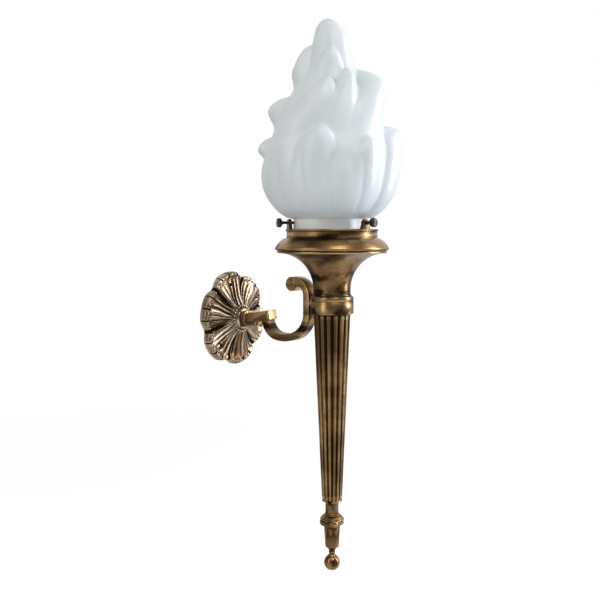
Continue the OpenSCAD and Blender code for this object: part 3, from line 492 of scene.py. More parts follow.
# the neck, below 123 mm, takes the painted glow
flame_glass = satin_glass("satin_flame_glass", (0.66, 0.715, 0.745, 1), 0.2, 0.33, painted_glow_below=0.123)
bulb_frost = satin_glass("frosted_bulb_glass", (0.93, 0.91, 0.86, 1), 0.3, 0.35)
print("satin glasses:", flame_glass.name, bulb_frost.name)

# %% [markdown]
# The hidden pieces are porcelain, moulded plastic and insulated wire. Each has a faint mottling, a fine
# bump and its own gloss, so none of them is one flat colour.

# %% Plain finishes
def moulded(name, colour, roughness, scale=120.0, coat=0.0):
    material, tree, shader, vector = start_material(name)
    cloud = remap(tree, grain(tree, vector, scale, 4, 0.6), 0.3, 0.7)
    deeper = tuple(c * 0.82 for c in colour[:3]) + (1,)
    wire(tree, blend(tree, cloud, deeper, colour), shader.inputs["Base Color"])
    wire(tree, remap(tree, cloud, 0.0, 1.0, roughness - 0.04, roughness + 0.06), shader.inputs["Roughness"])
    shader.inputs["Coat Weight"].default_value = coat
    bump(tree, shader, grain(tree, vector, scale * 12, 2), 0.00004)
    return material


porcelain = moulded("glazed_porcelain", (0.82, 0.79, 0.71, 1), 0.2, 60.0, 0.6)
white_plastic = moulded("white_plastic", (0.80, 0.78, 0.70, 1), 0.45)
black_glass = moulded("black_glass", (0.02, 0.02, 0.024, 1), 0.15)
brown_wire = moulded("brown_insulation", (0.16, 0.06, 0.025, 1), 0.5, 300.0)
blue_wire = moulded("blue_insulation", (0.04, 0.12, 0.38, 1), 0.5, 300.0)
green_wire = moulded("green_insulation", (0.14, 0.30, 0.05, 1), 0.5, 300.0)
print("all finishes:", len(bpy.data.materials))

# %% [markdown]
# Every finished piece is handed over in the same way: it takes its finish, rides on a body of the frame,
# and hides the node it stands for. So a piece moves with its joint and nothing shows twice.

# %% Handing a piece over
def hand_over(piece, material, body="fixture", instead_of=()):
    piece.data.materials.clear()
    piece.data.materials.append(material)
    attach(piece, body)
    if instead_of:
        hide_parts(*instead_of)
    print(piece.name, "has", len(piece.data.polygons), "faces")
    return piece

# %% [markdown]
# ## Ferrule, bell and gallery
# A thick ferrule carries the arm, a trumpet bell stands on it, and a moulded gallery ring closes the bell
# and holds the glass. All three are lathe work with small beads where one piece meets the next.

# %% Ferrule
groove = [(24.5, 27.0), (24.5, 27.4), (24.8, 27.8)]
ferrule_outline = [(5.05, 12)] + arc((22.4, 14.4), 2.4, -90, 0, 6) + [(24.8, 26.6)] + groove + [
    (24.8, 30.8), (24.6, 31.9), (24.1, 32.6), (23.2, 33), (20, 33), (20, 16), (5.05, 16)]
ferrule = turn("ferrule_turned", ferrule_outline, 192)
hand_over(ferrule, turned_brass, instead_of=("ferrule",))

# %% [markdown]
# The bell is a trumpet: its outline is a quarter of an ellipse between two small beads, and the inside
# follows the outside at the thickness of the casting. A curve handle would do as well, but the ellipse is
# exact.

# %% Bell
QUARTER = [math.radians(a) for a in range(0, 91, 3)]
BELL = [(62 - 40.6 * math.cos(a), 40 + 42 * math.sin(a)) for a in QUARTER]
bell_inside = [(max(r - 2.4, 19) if z < 78 else r - 3.5, z + (0 if z < 70 else 0.6))
               for r, z in BELL if r < 55]
foot_bead = [(21.4, 33), (22.1, 33.3), (22.3, 33.9), (22.1, 34.5), (21.4, 34.8)]
rim_bead = [(62.5, 82.2), (62.9, 82.8), (62.9, 84.2), (62.5, 84.8), (62, 85), (58, 85)]
bell_outline = [(5.05, 33)] + foot_bead + BELL + rim_bead + bell_inside[::-1] + [(19, 37), (5.05, 37)]
bell = turn("bell_turned", bell_outline, 256)
hand_over(bell, turned_brass, instead_of=("bell_cup",))

# %% [markdown]
# The gallery is a flange with a cushion over it and a plain band with a bead on top. The cushion is a
# quarter turn whose reach fades as it rises, which gives the full shoulder that the real ring has.

# %% Gallery ring
def at_height(points, z):
    return [(r, h + z) for r, h in points]


BAND_R, CUSHION_REACH, CUSHION_FOOT, CUSHION_RISE, GALLERY_Z = 53.2, 12.2, 2.6, 11.3, 85
cushion = []
for a in range(0, 91, 5):
    rise, reach = math.sin(math.radians(a)), math.cos(math.radians(a))
    cushion.append((BAND_R + CUSHION_REACH * (reach + 1 - rise) / 2, CUSHION_FOOT + CUSHION_RISE * rise))
foot = [(5.05, 3), (56, 3), (57, 0), (63, 0)] + arc((63, CUSHION_FOOT), 2.4, -80, -10, 8)
band = [(BAND_R, 14.1), (52.7, 14.3), (52.2, 14.4), (51.9, 14.8), (51.9, 15.3), (52.2, 15.9), (52.2, 17.5),
        (52.1, 20.5), (51.8, 21.6)]
gallery_inside = [(49.6, 24.5), (49, 23.9), (49, 6), (5.05, 6)]
gallery_outline = at_height(
    foot + cushion + band + arc((52, 23.2), 1.1, -70, 110, 12) + gallery_inside, GALLERY_Z)
gallery = turn("gallery_turned", gallery_outline, 256)

# %% [markdown]
# Three tabs rise from the gallery, one for each screw. A tab is a flat outline with a round head, filled
# and drawn out to its thickness. It is drilled by a rod, and its edges are softened as a file would. The
# rod is wanted again for every hole and pin, and so is the matrix that carries a piece round the torch.

# %% Gallery lugs
ALONG_X, ALONG_Y = (0, math.pi / 2, 0), (math.pi / 2, 0, 0)
LUG_TURNS = (20, 140, 260)
LUG_R, LUG_HALF, LUG_THICK, LUG_SHOULDER, EYE_Z, EYE_R = 50.3, 6.9, 4, 24.6, 31.5, 1.76
# faces above this height are the lugs, which take a dark brass as painted shade
PAINTED_SHADE_ABOVE = 0.1097


def rod(name, sides, radius, length, middle, turned=(0, 0, 0)):
    start_fresh()
    bpy.ops.mesh.primitive_cylinder_add(
        vertices=sides, radius=radius / 1000, depth=length / 1000, location=middle, rotation=turned)
    piece = new_piece(name)
    settle(piece)
    return piece


def round_torch(degrees, out, z):
    outward = Matrix.Rotation(math.radians(degrees), 4, "Z") @ Matrix.Translation(mm(out, 0, z))
    return Matrix.Translation(TORCH) @ outward


def lug_plate(name):
    side = [(-LUG_HALF, 20.5), (LUG_HALF, 20.5), (LUG_HALF, LUG_SHOULDER)] + arc((0, EYE_Z), 4.2, -8, 188, 28)
    side += [(-LUG_HALF, LUG_SHOULDER), (-LUG_HALF, 20.5)]
    plate = draw_outline(name, [mm(-LUG_THICK / 2, y, z) for y, z in side])
    tidy_mesh(plate)
    edit_all(plate)
    bpy.ops.mesh.edge_face_add()
    bpy.ops.mesh.extrude_region_move(TRANSFORM_OT_translate={"value": mm(LUG_THICK, 0, 0)})
    bpy.ops.mesh.select_all(action="SELECT")
    bpy.ops.mesh.normals_make_consistent(inside=False)
    leave_edit()
    carve(plate, rod("drill", 32, EYE_R, 20, mm(0, 0, EYE_Z), ALONG_X))
    soften_edges(plate, 0.35, 50, 2)
    return plate


lugs = []
for number, degrees in enumerate(LUG_TURNS):
    lug = lug_plate("lug_%d" % (number + 1))
    place(lug, round_torch(degrees, LUG_R, GALLERY_Z))
    lugs.append(lug)
gallery = join([gallery] + lugs, "gallery_turned")
smooth(gallery)
hand_over(gallery, turned_brass, instead_of=("gallery",))
# painted shade: the lug faces above the gallery rim take the dark brass
gallery.data.materials.append(lug_brass)
for face in gallery.data.polygons:
    face.material_index = 1 if face.center.z > PAINTED_SHADE_ABOVE else 0

# %% [markdown]
# ## Thumb screws
# Blackened steel screws pin the glass. The shank gets its thread as a saw-tooth outline on the lathe, and
# the head is a stepped knob with a domed end.

# %% Thumb screws
CORE_R, CREST_R, SCREW_PITCH, SCREW_Z = 1.45, 1.7, 0.55, 116.5
thread = []
for step in range(22):
    thread += [(CORE_R, 45.8 + SCREW_PITCH * step), (CREST_R, 46.05 + SCREW_PITCH * step)]
neck = [(CREST_R, 58.2), (2.6, 58.6), (2.8, 59.3), (2.8, 60.1), (4.3, 60.1)]
knob = arc((4.4, 60.9), 0.8, -90, 0, 4) + [(5.2, 61.6), (4.9, 61.8), (4.9, 62.1), (5.2, 62.3)]
knob += arc((3.9, 63.6), 1.3, 0, 80, 6) + [(1.9, 65.1), (0, 65.2)]
screw_outline = [(0, 44.9), (1.1, 44.9), (CORE_R, 45.4)] + thread + neck + knob
for number, degrees in enumerate(LUG_TURNS):
    screw = turn("thumb_screw_%d_turned" % (number + 1), screw_outline, 48, closed=False)
    stand_at_origin = Matrix.Translation(-TORCH)
    lie_down = Matrix.Rotation(math.pi / 2, 4, "Y")
    outward = Matrix.Rotation(math.radians(degrees), 4, "Z")
    place(screw, Matrix.Translation(TORCH + Vector(mm(0, 0, SCREW_Z))) @ outward @ lie_down @ stand_at_origin)
    body, node = "thumb_%d" % (number + 1), "thumb_screw_%d" % (number + 1)
    hand_over(screw, black_screw, body, (node,))

# %% [markdown]
# ## The fluted column
# The column is turned first, with many rows of points, and then the flutes are pressed into it: every
# point inside a flute moves towards the axis. Cutting sixteen flutes with a tool would leave ragged
# arches, and moved points keep them clean. A flute ends in a round arch, so the rows lie closer near both
# ends.

# %% Column
COLUMN_TOP, COLUMN_FOOT, FOOT_R, TAPER = 12, -200, 11.6, 9.6
FLUTE_TOP, FLUTE_FOOT, FLUTE_DEPTH, FLUTE_SHARE = 7, -195, 1.75, 0.3
TOP_R = FOOT_R + TAPER
FINE_STEP, LONG_STEP = 0.35, 6.5


def column_radius(z):
    return FOOT_R + TAPER * (z - COLUMN_FOOT) / (COLUMN_TOP - COLUMN_FOOT)


def flute_depth(turn_degrees, z):
    pitch = 360 / FLUTES
    across = (turn_degrees % pitch) - pitch / 2
    radius = column_radius(z)
    half = FLUTE_SHARE * math.radians(pitch) * radius
    x = math.radians(across) * radius
    top, low = FLUTE_TOP - half, FLUTE_FOOT + half
    over = max(z - top, low - z, 0)
    distance = math.hypot(x, over) / half
    if distance >= 1:
        return 0
    return FLUTE_DEPTH * radius / TOP_R * (1 - distance * distance) ** 0.62


rows = [7.2 - FINE_STEP * i for i in range(28)]
rows += [rows[-1] - LONG_STEP * (i + 1) for i in range(27)]
rows += [rows[-1] - FINE_STEP * (i + 1) for i in range(int((rows[-1] + 195.4) / FINE_STEP))]
outline = [(TOP_R - 4.6, COLUMN_TOP), (TOP_R - 0.5, COLUMN_TOP), (TOP_R, 11.4)]
outline += [(column_radius(z), z) for z in rows] + [
    (FOOT_R, -197.4), (11.1, -198), (11.1, -199.4), (10.6, COLUMN_FOOT), (5.05, COLUMN_FOOT), (5.05, -192),
    (7.4, -190)]
column = turn("column_fluted", outline, 480)


def from_axis(point):
    x, y, z = point.co.x * 1000, (point.co.y - AXIS_Y) * 1000, point.co.z * 1000
    return x, y, z, math.hypot(x, y)


def press_to(point, y, radius, fresh):
    point.co.x *= fresh / radius
    point.co.y = AXIS_Y + y * fresh / radius / 1000


for point in column.data.vertices:
    x, y, z, radius = from_axis(point)
    if radius > 9 and FLUTE_FOOT - 1 < z < FLUTE_TOP + 1:
        press_to(point, y, radius, radius - flute_depth(math.degrees(math.atan2(y, x)), z))
smooth(column, 50)
hand_over(column, fluted_brass, instead_of=("column",))

# %% [markdown]
# ## The foot
# Under the column comes a waisted collar, then a block with four rounded ears over pointed arches, and a
# ball that draws up to a point under the block.

# %% Foot collar
waist = [(5.05, 0), (8.1, 0), (8.3, 0.5), (8.1, 1), (7.5, 1.5), (7.5, 8)]
waist += arc((10.6, 11.7), 3.1, 200, 112, 8)
collar_top = [(9.9, 14.6), (10.9, 14.7), (11.4, 15.3), (11.4, 16.4), (11, 17), (5.05, 17)]
collar_outline = at_height(waist + collar_top, -217)
foot_collar = turn("foot_collar_turned", collar_outline, 128)
hand_over(foot_collar, turned_brass, instead_of=("foot_collar",))

# %% [markdown]
# The block is cast in one with its rings. Its round core and the rings over it are turned first, with the
# bore for the rod above and the bore for the finial's spigot below. The stem and the ears are laid on it
# afterwards.

# %% Foot block
rings = [(11.4, 38.2), (13.2, 38.8), (13.8, 39.4), (13.2, 40.0), (12.5, 40.2), (12.5, 40.6), (12.9, 41.0),
         (12.5, 41.5), (11.6, 41.8), (11.6, 42.2), (11.0, 42.7), (10, 43), (9.4, 43.4), (9.4, 44.2),
         (8.8, 44.5)]
spigot = [(0, 9), (2.05, 9), (2.05, 0), (3.2, 0), (3.9, 0.6), (3.9, 1.4), (3.4, 2), (3.5, 3.0), (5.0, 5.0),
          (7.2, 7.4)]
shoulder = [(7.2, 20), (8.6, 29.5), (10.8, 32.5), (11.2, 36)]
rod_bore = [(5.05, 44.5), (5.05, 30.5), (0, 30.5)]
block_outline = at_height(spigot + shoulder + rings + rod_bore, -261.5)
foot_block = turn("foot_block_cast", block_outline, 96, closed=False)
print("foot block core:", len(foot_block.data.vertices), "points")

# %% [markdown]
# The stem of the block is eight-sided. An eight-sided cylinder is tapered by moving its lower ring, then
# the arches are cut into its faces with a pointed prism made from a flat plate.

# %% Stem and arches
ARCH_R, ARCH_NARROW, STEM_TAPER = 6.2, 0.52, 0.86
stem = rod("stem", 8, 9.4, 22.5, mm(0, -150, -243.2), (0, 0, math.radians(22.5)))
for point in stem.data.vertices:
    if point.co.z < -0.245:
        point.co.x *= STEM_TAPER
        point.co.y = AXIS_Y + (point.co.y - AXIS_Y) * STEM_TAPER
soften_edges(stem, 0.5, 30, 3)


def arch_tool(degrees, reach):
    tool = rod("arch_tool", 40, ARCH_R, 4, (0, 0, 0), ALONG_X)
    for point in tool.data.vertices:
        up = point.co.z / (ARCH_R / 1000)
        side = abs(point.co.y) / (ARCH_R / 1000)
        point.co.y *= ARCH_NARROW
        if up > 0:
            point.co.z = 0.0075 * (1 - side ** 1.5) + 0.002
        else:
            point.co.z = -0.0085 if up < -0.05 else 0.0
    place(tool, round_torch(degrees, reach, -243.5))
    return tool


for face_number in range(8):
    carve(stem, arch_tool(45 * face_number, 10.1))
carve(stem, rod("spigot_bore", 32, 2.05, 6, mm(0, -150, -255.5)))
print("stem:", len(stem.data.polygons), "faces")

# %% [markdown]
# Four rounded ears stand at the corners between the arches. Each is a ball that is drawn wider along the
# block and longer below than above, so it reads as a worn cast knop and not as a bead.

# %% Ears
EAR_R, EAR_OUT, EAR_Z = 0.0046, 9.7, -225.4
ears = []
for quarter in range(4):
    start_fresh()
    bpy.ops.mesh.primitive_uv_sphere_add(segments=40, ring_count=24, radius=EAR_R)
    ear = new_piece("ear_%d" % quarter)
    for point in ear.data.vertices:
        point.co.z *= 1.15 if point.co.z < 0 else 0.95
        point.co.y *= 1.2
    place(ear, round_torch(45 + 90 * quarter, EAR_OUT, EAR_Z))
    ears.append(ear)
foot_block = join([foot_block, stem] + ears, "foot_block_cast")
smooth(foot_block, 35)
hand_over(foot_block, cast_brass, instead_of=("foot_block",))

# %% [markdown]
# The finial is a ball that draws up through a small neck to its spigot, which sits in the block. It is
# one outline on the lathe, as the real one is one turning.

# %% Ball finial
ball_outline = [(x, z - 272.3) for x, z in arc((0, 0), 9.2, -90, 48, 26)] + [
    (5.2, -264.7), (4.2, -263.6), (3.5, -262.6), (3.3, -261.7), (2.0, -261.5), (2.0, -253.5), (0, -253.5)]
ball = turn("ball_turned", ball_outline, 128, closed=False)
hand_over(ball, turned_brass, instead_of=("ball_finial",))

# %% [markdown]
# ## The wall rosette
# A cast brass flower of six petals. It is laid out as a lathe piece with many sides, and then each point
# of its front is raised or sunk: petals swell, valleys run between them, thin veins run into the hub, and
# the rolled lip is nicked three times on each petal. Sculpting by hand could do it too, but one formula
# keeps six petals alike and lets the same numbers say where the finish is dark and where it is rubbed.

# %% Rosette shape in numbers
PETAL, PETAL_TURN, ROSETTE_SIDES = 60, 45, 720
ROSETTE_FRONT = [(13, 20.6), (15, 18.6), (18, 16.4), (22, 14.2), (26, 12.4), (30, 11), (34, 9.9), (38, 9.1),
                 (42, 8.6), (45, 8.4), (48, 8.4)]
VALLEY_DEPTH, VALLEY_WIDTH = 3.1, 2.3
NICK_TURNS, NICK_WIDTH, NICK_DEPTH = (-16, 0, 15), 0.8, 1.5
NOTCH_DEPTH = 5.5


def swell(x):
    x = min(max(x, 0.0), 1.0)
    return x * x * (3 - 2 * x)


def wave(degrees):
    return math.sin(math.radians(degrees))


def steps_between(points, gap):
    out = [points[0]]
    for (r0, h0), (r1, h1) in zip(points, points[1:]):
        pieces = max(1, round(math.dist((r0, h0), (r1, h1)) / gap))
        out += [(r0 + (r1 - r0) * k / pieces, h0 + (h1 - h0) * k / pieces) for k in range(1, pieces + 1)]
    return out


def petal_place(degrees):
    turn_in = (degrees - PETAL_TURN + PETAL / 2) % PETAL - PETAL / 2
    return turn_in, abs(abs(turn_in) - PETAL / 2)


def rosette_shift(r, degrees):
    inside, to_valley = petal_place(degrees)
    curl = 6 * wave(6 * degrees) * swell((40 - r) / 26)
    valley_width = 0.5 + r * math.radians(to_valley)
    valley = -VALLEY_DEPTH * math.exp(-(valley_width / VALLEY_WIDTH) ** 1.3) * swell((r - 15) / 16)
    cushion = 1.9 * math.cos(math.radians(inside * 3)) * swell((r - 17) / 22) - 0.7
    vein_turn = (degrees + curl + 1.5 * wave(9 * degrees + 4 * r)) * 18
    vein = (2 * abs(wave(vein_turn)) ** 0.55 - 1.2) * (0.75 + 0.3 * wave(5 * degrees))
    vein *= swell((r - 13) / 5) * swell((56 - r) / 16)
    fold = 0.8 * wave((degrees + 1.6 * curl + 4) * 9) * swell((r - 14) / 8) * swell((56 - r) / 14)
    ruffle = 0.5 * wave(degrees * 30) * swell((r - 48) / 5)
    lift = valley + (cushion + vein + fold + ruffle) * swell((57.6 - r) / 3.0 + 0.25)
    nick = max(math.exp(-((inside - middle) / NICK_WIDTH) ** 2) for middle in NICK_TURNS)
    nick *= swell((r - 50.5) / 2.5)
    edge_curl = swell((to_valley - 1.5) / 3) * swell((7 - to_valley) / 3) * swell((r - 50) / 3)
    groove = swell(-(valley + 1.6 * vein + 0.5 * fold) / 1.4) + nick
    crest = 0.85 * swell((vein + 0.9 * fold) / 1.2) * (1 - swell(-valley))
    crest += 0.3 * swell((r - 52) / 2) * (1 - nick)
    return lift - NICK_DEPTH * nick + 0.9 * edge_curl, nick, min(groove, 1.0), min(crest, 1.0)


print("lift of a petal's middle:", [round(rosette_shift(r, PETAL_TURN)[0], 2) for r in (20, 35, 50)])

# %% [markdown]
# The flower is turned upright with 720 sides, laid against the wall, and its front is then shaped point
# by point. Only points well in front of the hollow back are moved, and the rim is drawn in between the
# petals. The two masks are stored on the mesh for the finish.

# %% Rosette
lip = arc((54.3, 6.1), 3.2, 125, 0, 16)
front = steps_between([(12, 23)] + ROSETTE_FRONT + [lip[0]], 0.8) + lip[1:]
outline = [(5.05, 23), (11, 23), (11.6, 22.8)] + front[1:] + [(57.5, 3), (57.5, 0), (50.5, 0), (46, 4.2),
           (38, 5.2), (30, 6.4), (22, 10.5), (17, 14), (16, 14.8), (5.05, 15)]
rosette = turn("rosette_cast", outline, ROSETTE_SIDES)
for mask in ("groove", "crest"):
    rosette.data.attributes.new(mask, "FLOAT", "POINT")
# The lathe turns about the upright torch axis, so the flower is laid against the wall afterwards
place(rosette, Matrix.Rotation(math.pi / 2, 4, "X") @ Matrix.Translation(-TORCH))
for point in rosette.data.vertices:
    x, out, z = point.co.x * 1000, -point.co.y * 1000, point.co.z * 1000
    r = math.hypot(x, z)
    degrees = math.degrees(math.atan2(z, x))
    height, shrink, groove, crest = rosette_shift(r, degrees)
    is_front = out > 6.5 + 11 * swell((30 - r) / 18) or r > 50.6 and out > 0.5
    if is_front and r > 13:
        share = min(1.0, out / 9)
        point.co.y = -max(out + height * share, 0.4) / 1000
        rosette.data.attributes["groove"].data[point.index].value = groove
        rosette.data.attributes["crest"].data[point.index].value = crest
    notch = NOTCH_DEPTH * abs(wave(3 * (degrees - PETAL_TURN))) ** 7 * swell((r - 26) / 30)
    fresh = r - notch * swell((r - 26) / 30) - (shrink if out > 0.5 else 0)
    point.co.x *= fresh / r
    point.co.z *= fresh / r
print("rosette depth", round(-min(p.co.y for p in rosette.data.vertices) * 1000, 2))

# %% [markdown]
# Three wall screw holes are drilled through every second petal, and a ring of small beads sits at the
# foot of the hub, as the leaf tips of the casting do.

# %% Rosette holes and beads
HOLE_TURNS, HOLE_OUT, HOLE_R = (105, 225, 345), 43, 2.2
BEADS, BEAD_OUT, BEAD_R = 24, 15.2, 0.0014


def on_rosette(degrees, out, depth):
    turned_by = math.radians(degrees)
    return mm(out * math.cos(turned_by), -depth, out * math.sin(turned_by))


for degrees in HOLE_TURNS:
    carve(rosette, rod("drill", 32, HOLE_R, 30, on_rosette(degrees, HOLE_OUT, 8), ALONG_Y))
start_fresh()
bpy.ops.mesh.primitive_uv_sphere_add(segments=20, ring_count=12, radius=BEAD_R)
bead = new_piece("bead")
beads = [copy_of(bead, "bead_%d" % number) for number in range(BEADS)]
for number, twin in enumerate(beads):
    place(twin, Matrix.Translation(on_rosette(360 / BEADS * number, BEAD_OUT, 18.6)))
bpy.data.objects.remove(bead)
rosette = join([rosette] + beads, "rosette_cast")
smooth(rosette, 50)
rosette_brass = brass("cast_rosette_brass", 60, 0.005, None, (0.18, 0.100, 0.043, 1), (0.93, 0.79, 0.60, 1),
                      masks=("crest", "groove"))
hand_over(rosette, rosette_brass, instead_of=("rosette",))

# %% [markdown]
# ## Hub collar
# A square block with filed edges, pushed over the arm's root. A cube is scaled to its three sides, its
# edges are bevelled as a file would break them, and the tail's bore goes through it.

# %% Hub collar
start_fresh()
bpy.ops.mesh.primitive_cube_add(size=1, location=mm(0, -26.75, 0))
hub = new_piece("hub_collar_block")
hub.scale = mm(19, 7.5, 19)
settle(hub)
soften_edges(hub, 0.7, 35, 4)
carve(hub, rod("drill", 48, 5.05, 20, mm(0, -26.75, 0), ALONG_Y))
smooth(hub, 35)
hand_over(hub, arm_brass, instead_of=("hub_collar",))

# %% [markdown]
# ## The scroll arm
# A bar leaves the hub and a flat strip is bent round from under it, up behind the ferrule, and over into
# a curl. One rounded rectangle is drawn and spun round the centre of each bend in turn. The hollow for
# the wires is made the same way with a smaller rectangle.

# %% Bending a strip
def out_point(u, z):
    return Vector(mm(0, -u, z))


def section_at(name, width, thick, corner, middle, radius, degrees):
    start_fresh()
    bpy.ops.mesh.primitive_plane_add(size=1)
    piece = new_piece(name)
    piece.scale = mm(width, thick, 1)
    settle(piece)
    edit_all(piece)
    bpy.ops.mesh.bevel(offset=corner / 1000, segments=4, affect="VERTICES")
    leave_edit()
    a = math.radians(degrees)
    across = Vector((0, -math.cos(a), math.sin(a)))
    side = Vector((1, 0, 0))
    frame_of_section = Matrix((side, across, side.cross(across))).transposed().to_4x4()
    spot = out_point(middle[0] + radius * math.cos(a), middle[1] + radius * math.sin(a))
    place(piece, Matrix.Translation(spot) @ frame_of_section)
    return piece


def bend(piece, middle, degrees, steps):
    bpy.ops.mesh.spin(steps=steps, angle=math.radians(degrees), center=out_point(*middle), axis=(1, 0, 0))


BEND_1, BEND_2, BEND_3, BEND_4 = (80.59, 3.68), (84.53, 26.04), (90, 11), (101, 31.3)
BEND_R, FIRST_TURN, RISE_TO_CURL, RISE_TO_BORE = 22.3, -186, 20.3, 13


def scroll(name, width, thick, corner, with_curl):
    piece = section_at(name, width, thick, corner, BEND_1, BEND_R, FIRST_TURN)
    edit_all(piece)
    bend(piece, BEND_1, 86, 30)
    bend(piece, BEND_2, 30, 12)
    bend(piece, BEND_3, 70, 28)
    rise = RISE_TO_CURL if with_curl else RISE_TO_BORE
    bpy.ops.mesh.extrude_region_move(TRANSFORM_OT_translate={"value": mm(0, 0, rise)})
    if with_curl:
        bend(piece, BEND_4, 92, 36)
    bpy.ops.mesh.select_all(action="SELECT")
    bpy.ops.mesh.normals_make_consistent(inside=False)
    leave_edit()
    return piece

# %% [markdown]
# The bar rises ten degrees from the hub. It is a softened block, set at that angle and cut off square at
# its root, and it is joined to the strip by a union, so that no wall is left between them.

# %% Strip and bar
STRIP_WIDE, STRIP_THICK, BAR_HIGH = 16, 8.8, 11.6
BAR_RISE = math.radians(10)
BAR_FROM, BAR_LONG, HUB_FACE, ROOT_Y = 30.4, 34.9, 26, -0.0305
strip = scroll("arm_scroll", STRIP_WIDE, STRIP_THICK, 1.1, True)
start_fresh()
bpy.ops.mesh.primitive_cube_add(size=1)
bar = new_piece("bar")
bar.scale = mm(STRIP_WIDE, BAR_LONG / math.cos(BAR_RISE), BAR_HIGH)
settle(bar)
soften_edges(bar, 0.8, 35, 3)
half_way = BAR_FROM + BAR_LONG / 2
bar_middle = out_point(half_way, math.tan(BAR_RISE) * (half_way - HUB_FACE))
place(bar, Matrix.Translation(bar_middle) @ Matrix.Rotation(-BAR_RISE, 4, "X"))
for point in bar.data.vertices:
    if point.co.y > -0.0325:
        point.co.y = ROOT_Y
carve(strip, bar, "UNION")
print("strip with its bar:", len(strip.data.polygons), "faces")

# %% [markdown]
# The curl is a round roll at the tip of the strip. Its two faces are inset and pushed in to leave a
# shallow ring, and a small eye is drilled in the middle.

# %% Curl
CURL_R, CURL_WIDE, CURL_PLACE = 8.53, 15.7, (98.6, 45.13)
INSETS = [(0.0008, 0.0), (0.0004, -0.0003), (0.0045, 0.0001), (0.0013, 0.0), (0.0003, -0.001)]
curl = rod("curl", 96, CURL_R, CURL_WIDE, out_point(*CURL_PLACE), ALONG_X)
select_in(curl, "FACE", lambda face: abs(face.normal.x) > 0.9)
for inward, push in INSETS:
    bpy.ops.mesh.inset(thickness=inward, depth=push, use_individual=True)
leave_edit()
print("curl:", len(curl.data.polygons), "faces")

# %% [markdown]
# A short tail at each end passes into the rosette and into the ferrule. A saddle pad fills the gap
# between the flat strip and the round ferrule, so it is cut to the ferrule's roundness. All three are
# rods that lie along the way out from the wall, which one small helper gives.

# %% Tails and saddle
TAIL_R, SADDLE_R, FERRULE_R, FERRULE_Z = 5, 7.5, 24.85, 24.0


def out_cylinder(name, radius, start, end, z=0.0, sides=48):
    return rod(name, sides, radius, end - start, out_point((start + end) / 2, z), ALONG_Y)


saddle = out_cylinder("saddle", SADDLE_R, 119, 129, FERRULE_Z, 64)
carve(saddle, rod("hollow_tool", 192, FERRULE_R, 60, mm(0, -150, FERRULE_Z)))
carve(strip, saddle, "UNION")
carve(strip, out_cylinder("wall_tail", TAIL_R, 7, 31.6), "UNION")
carve(strip, out_cylinder("torch_tail", TAIL_R, 119, 137, FERRULE_Z), "UNION")
print("tails reach", round(-min(p.co.y for p in strip.data.vertices) * 1000, 1), "mm from the wall")

# %% [markdown]
# The wires run through the arm, so it is hollow. A smaller scroll is bent round the same centres and
# taken out of the strip, and two bores open it at the wall and at the ferrule. The curl is laid on as its
# own roll.

# %% Wire way
BORE_R = 3.2
carve(strip, scroll("wire_way", 6.4, 5.0, 0.6, False))
carve(strip, out_cylinder("wall_bore", BORE_R, 6, 62.5))
carve(strip, out_cylinder("torch_bore", BORE_R, 119, 138, FERRULE_Z))
strip = join([strip, curl], "arm_scroll")
smooth(strip, 32)
hand_over(strip, arm_brass, instead_of=("arm",))

# %% [markdown]
# ## The flame glass
# Tongues of flame overlap all round the glass. Each has a direction, a tip height, a thickness, a width,
# a lean and a way to sink back into the body. A tall tube is subdivided into many rows and every point is
# pushed out by the tongues it lies on. The inner face follows a little inside the outer one. Blown and
# pressed glass has no sharp step, so the thickest tongue wins softly: the tongues are added by their
# sixth powers.

# %% The tongues
NECK_R, SEAT, NECK_H, GLASS_H, GLASS_T = 40, 91, 31.5, 260.5, 3.2
BOWL_H = GLASS_H - NECK_H
GLASS_SHIFT, SHIFT_TURN = 4.4, math.radians(125)
GLASS_MIDDLE = (GLASS_SHIFT * math.cos(SHIFT_TURN), GLASS_SHIFT * math.sin(SHIFT_TURN) - 150)
SWAY, BLEND_POWER = 4, 6
BODY_LINE = [(0, NECK_R + 6), (0.025, 54), (0.063, 62), (0.1, 67.5), (0.14, 71), (0.2, 72.5), (0.27, 71),
             (0.33, 69), (0.4, 64.5), (0.47, 59.5), (0.55, 52), (0.64, 41), (0.74, 29.5), (0.82, 24.5),
             (0.88, 21.5), (0.93, 17.5), (0.965, 12.5), (0.987, 7), (1, 0)]
# Direction of the tip, its height as a share, thickness, half width, lean, rounding, sinking, what stays
TONGUES = [
    (-230, 0.862, 15, 42, 14, 0.12, 0.12, 0), (-243, 0.609, 18, 34, 14, 0.06, 0.12, 0),
    (-246, 0.408, 15, 28, 8, 0.06, 0.08, 0), (-222, 0.31, 4, 26, 6, 0.05, 0.2, 0.3),
    (-62, 0.737, 24, 34, 30, 0.075, 0.27, 0.15), (-56, 0.458, 20, 24, 8, 0.035, 0.3, 0.35),
    (-149, 0.685, 13, 24, 22, 0.05, 0.24, 0.2), (-153, 0.44, 12, 20, 12, 0.05, 0.25, 0.25),
    (-108, 0.39, 11, 17, 8, 0.045, 0.25, 0.3), (-114, 0.725, 11, 22, 18, 0.05, 0.3, 0.2),
    (-166, 0.53, 8, 26, 50, 0.05, 0.25, 0.3), (-148, 0.843, 6, 34, 10, 0.05, 0.14, 0),
    (-190, 0.4, 7, 26, 20, 0.05, 0.25, 0.3), (-285, 0.45, 15, 30, 12, 0.04, 0.25, 0.3),
    (-325, 0.49, 15, 28, 12, 0.04, 0.25, 0.3), (-295, 0.67, 16, 34, 20, 0.045, 0.2, 0.1),
    (-340, 0.61, 16, 32, 20, 0.045, 0.2, 0.1), (-290, 0.85, 12, 40, 20, 0.06, 0.2, 0)]


def slope(points, i):
    (x0, y0), (x1, y1) = points[max(i - 1, 0)], points[min(i + 1, len(points) - 1)]
    return (y1 - y0) / (x1 - x0)


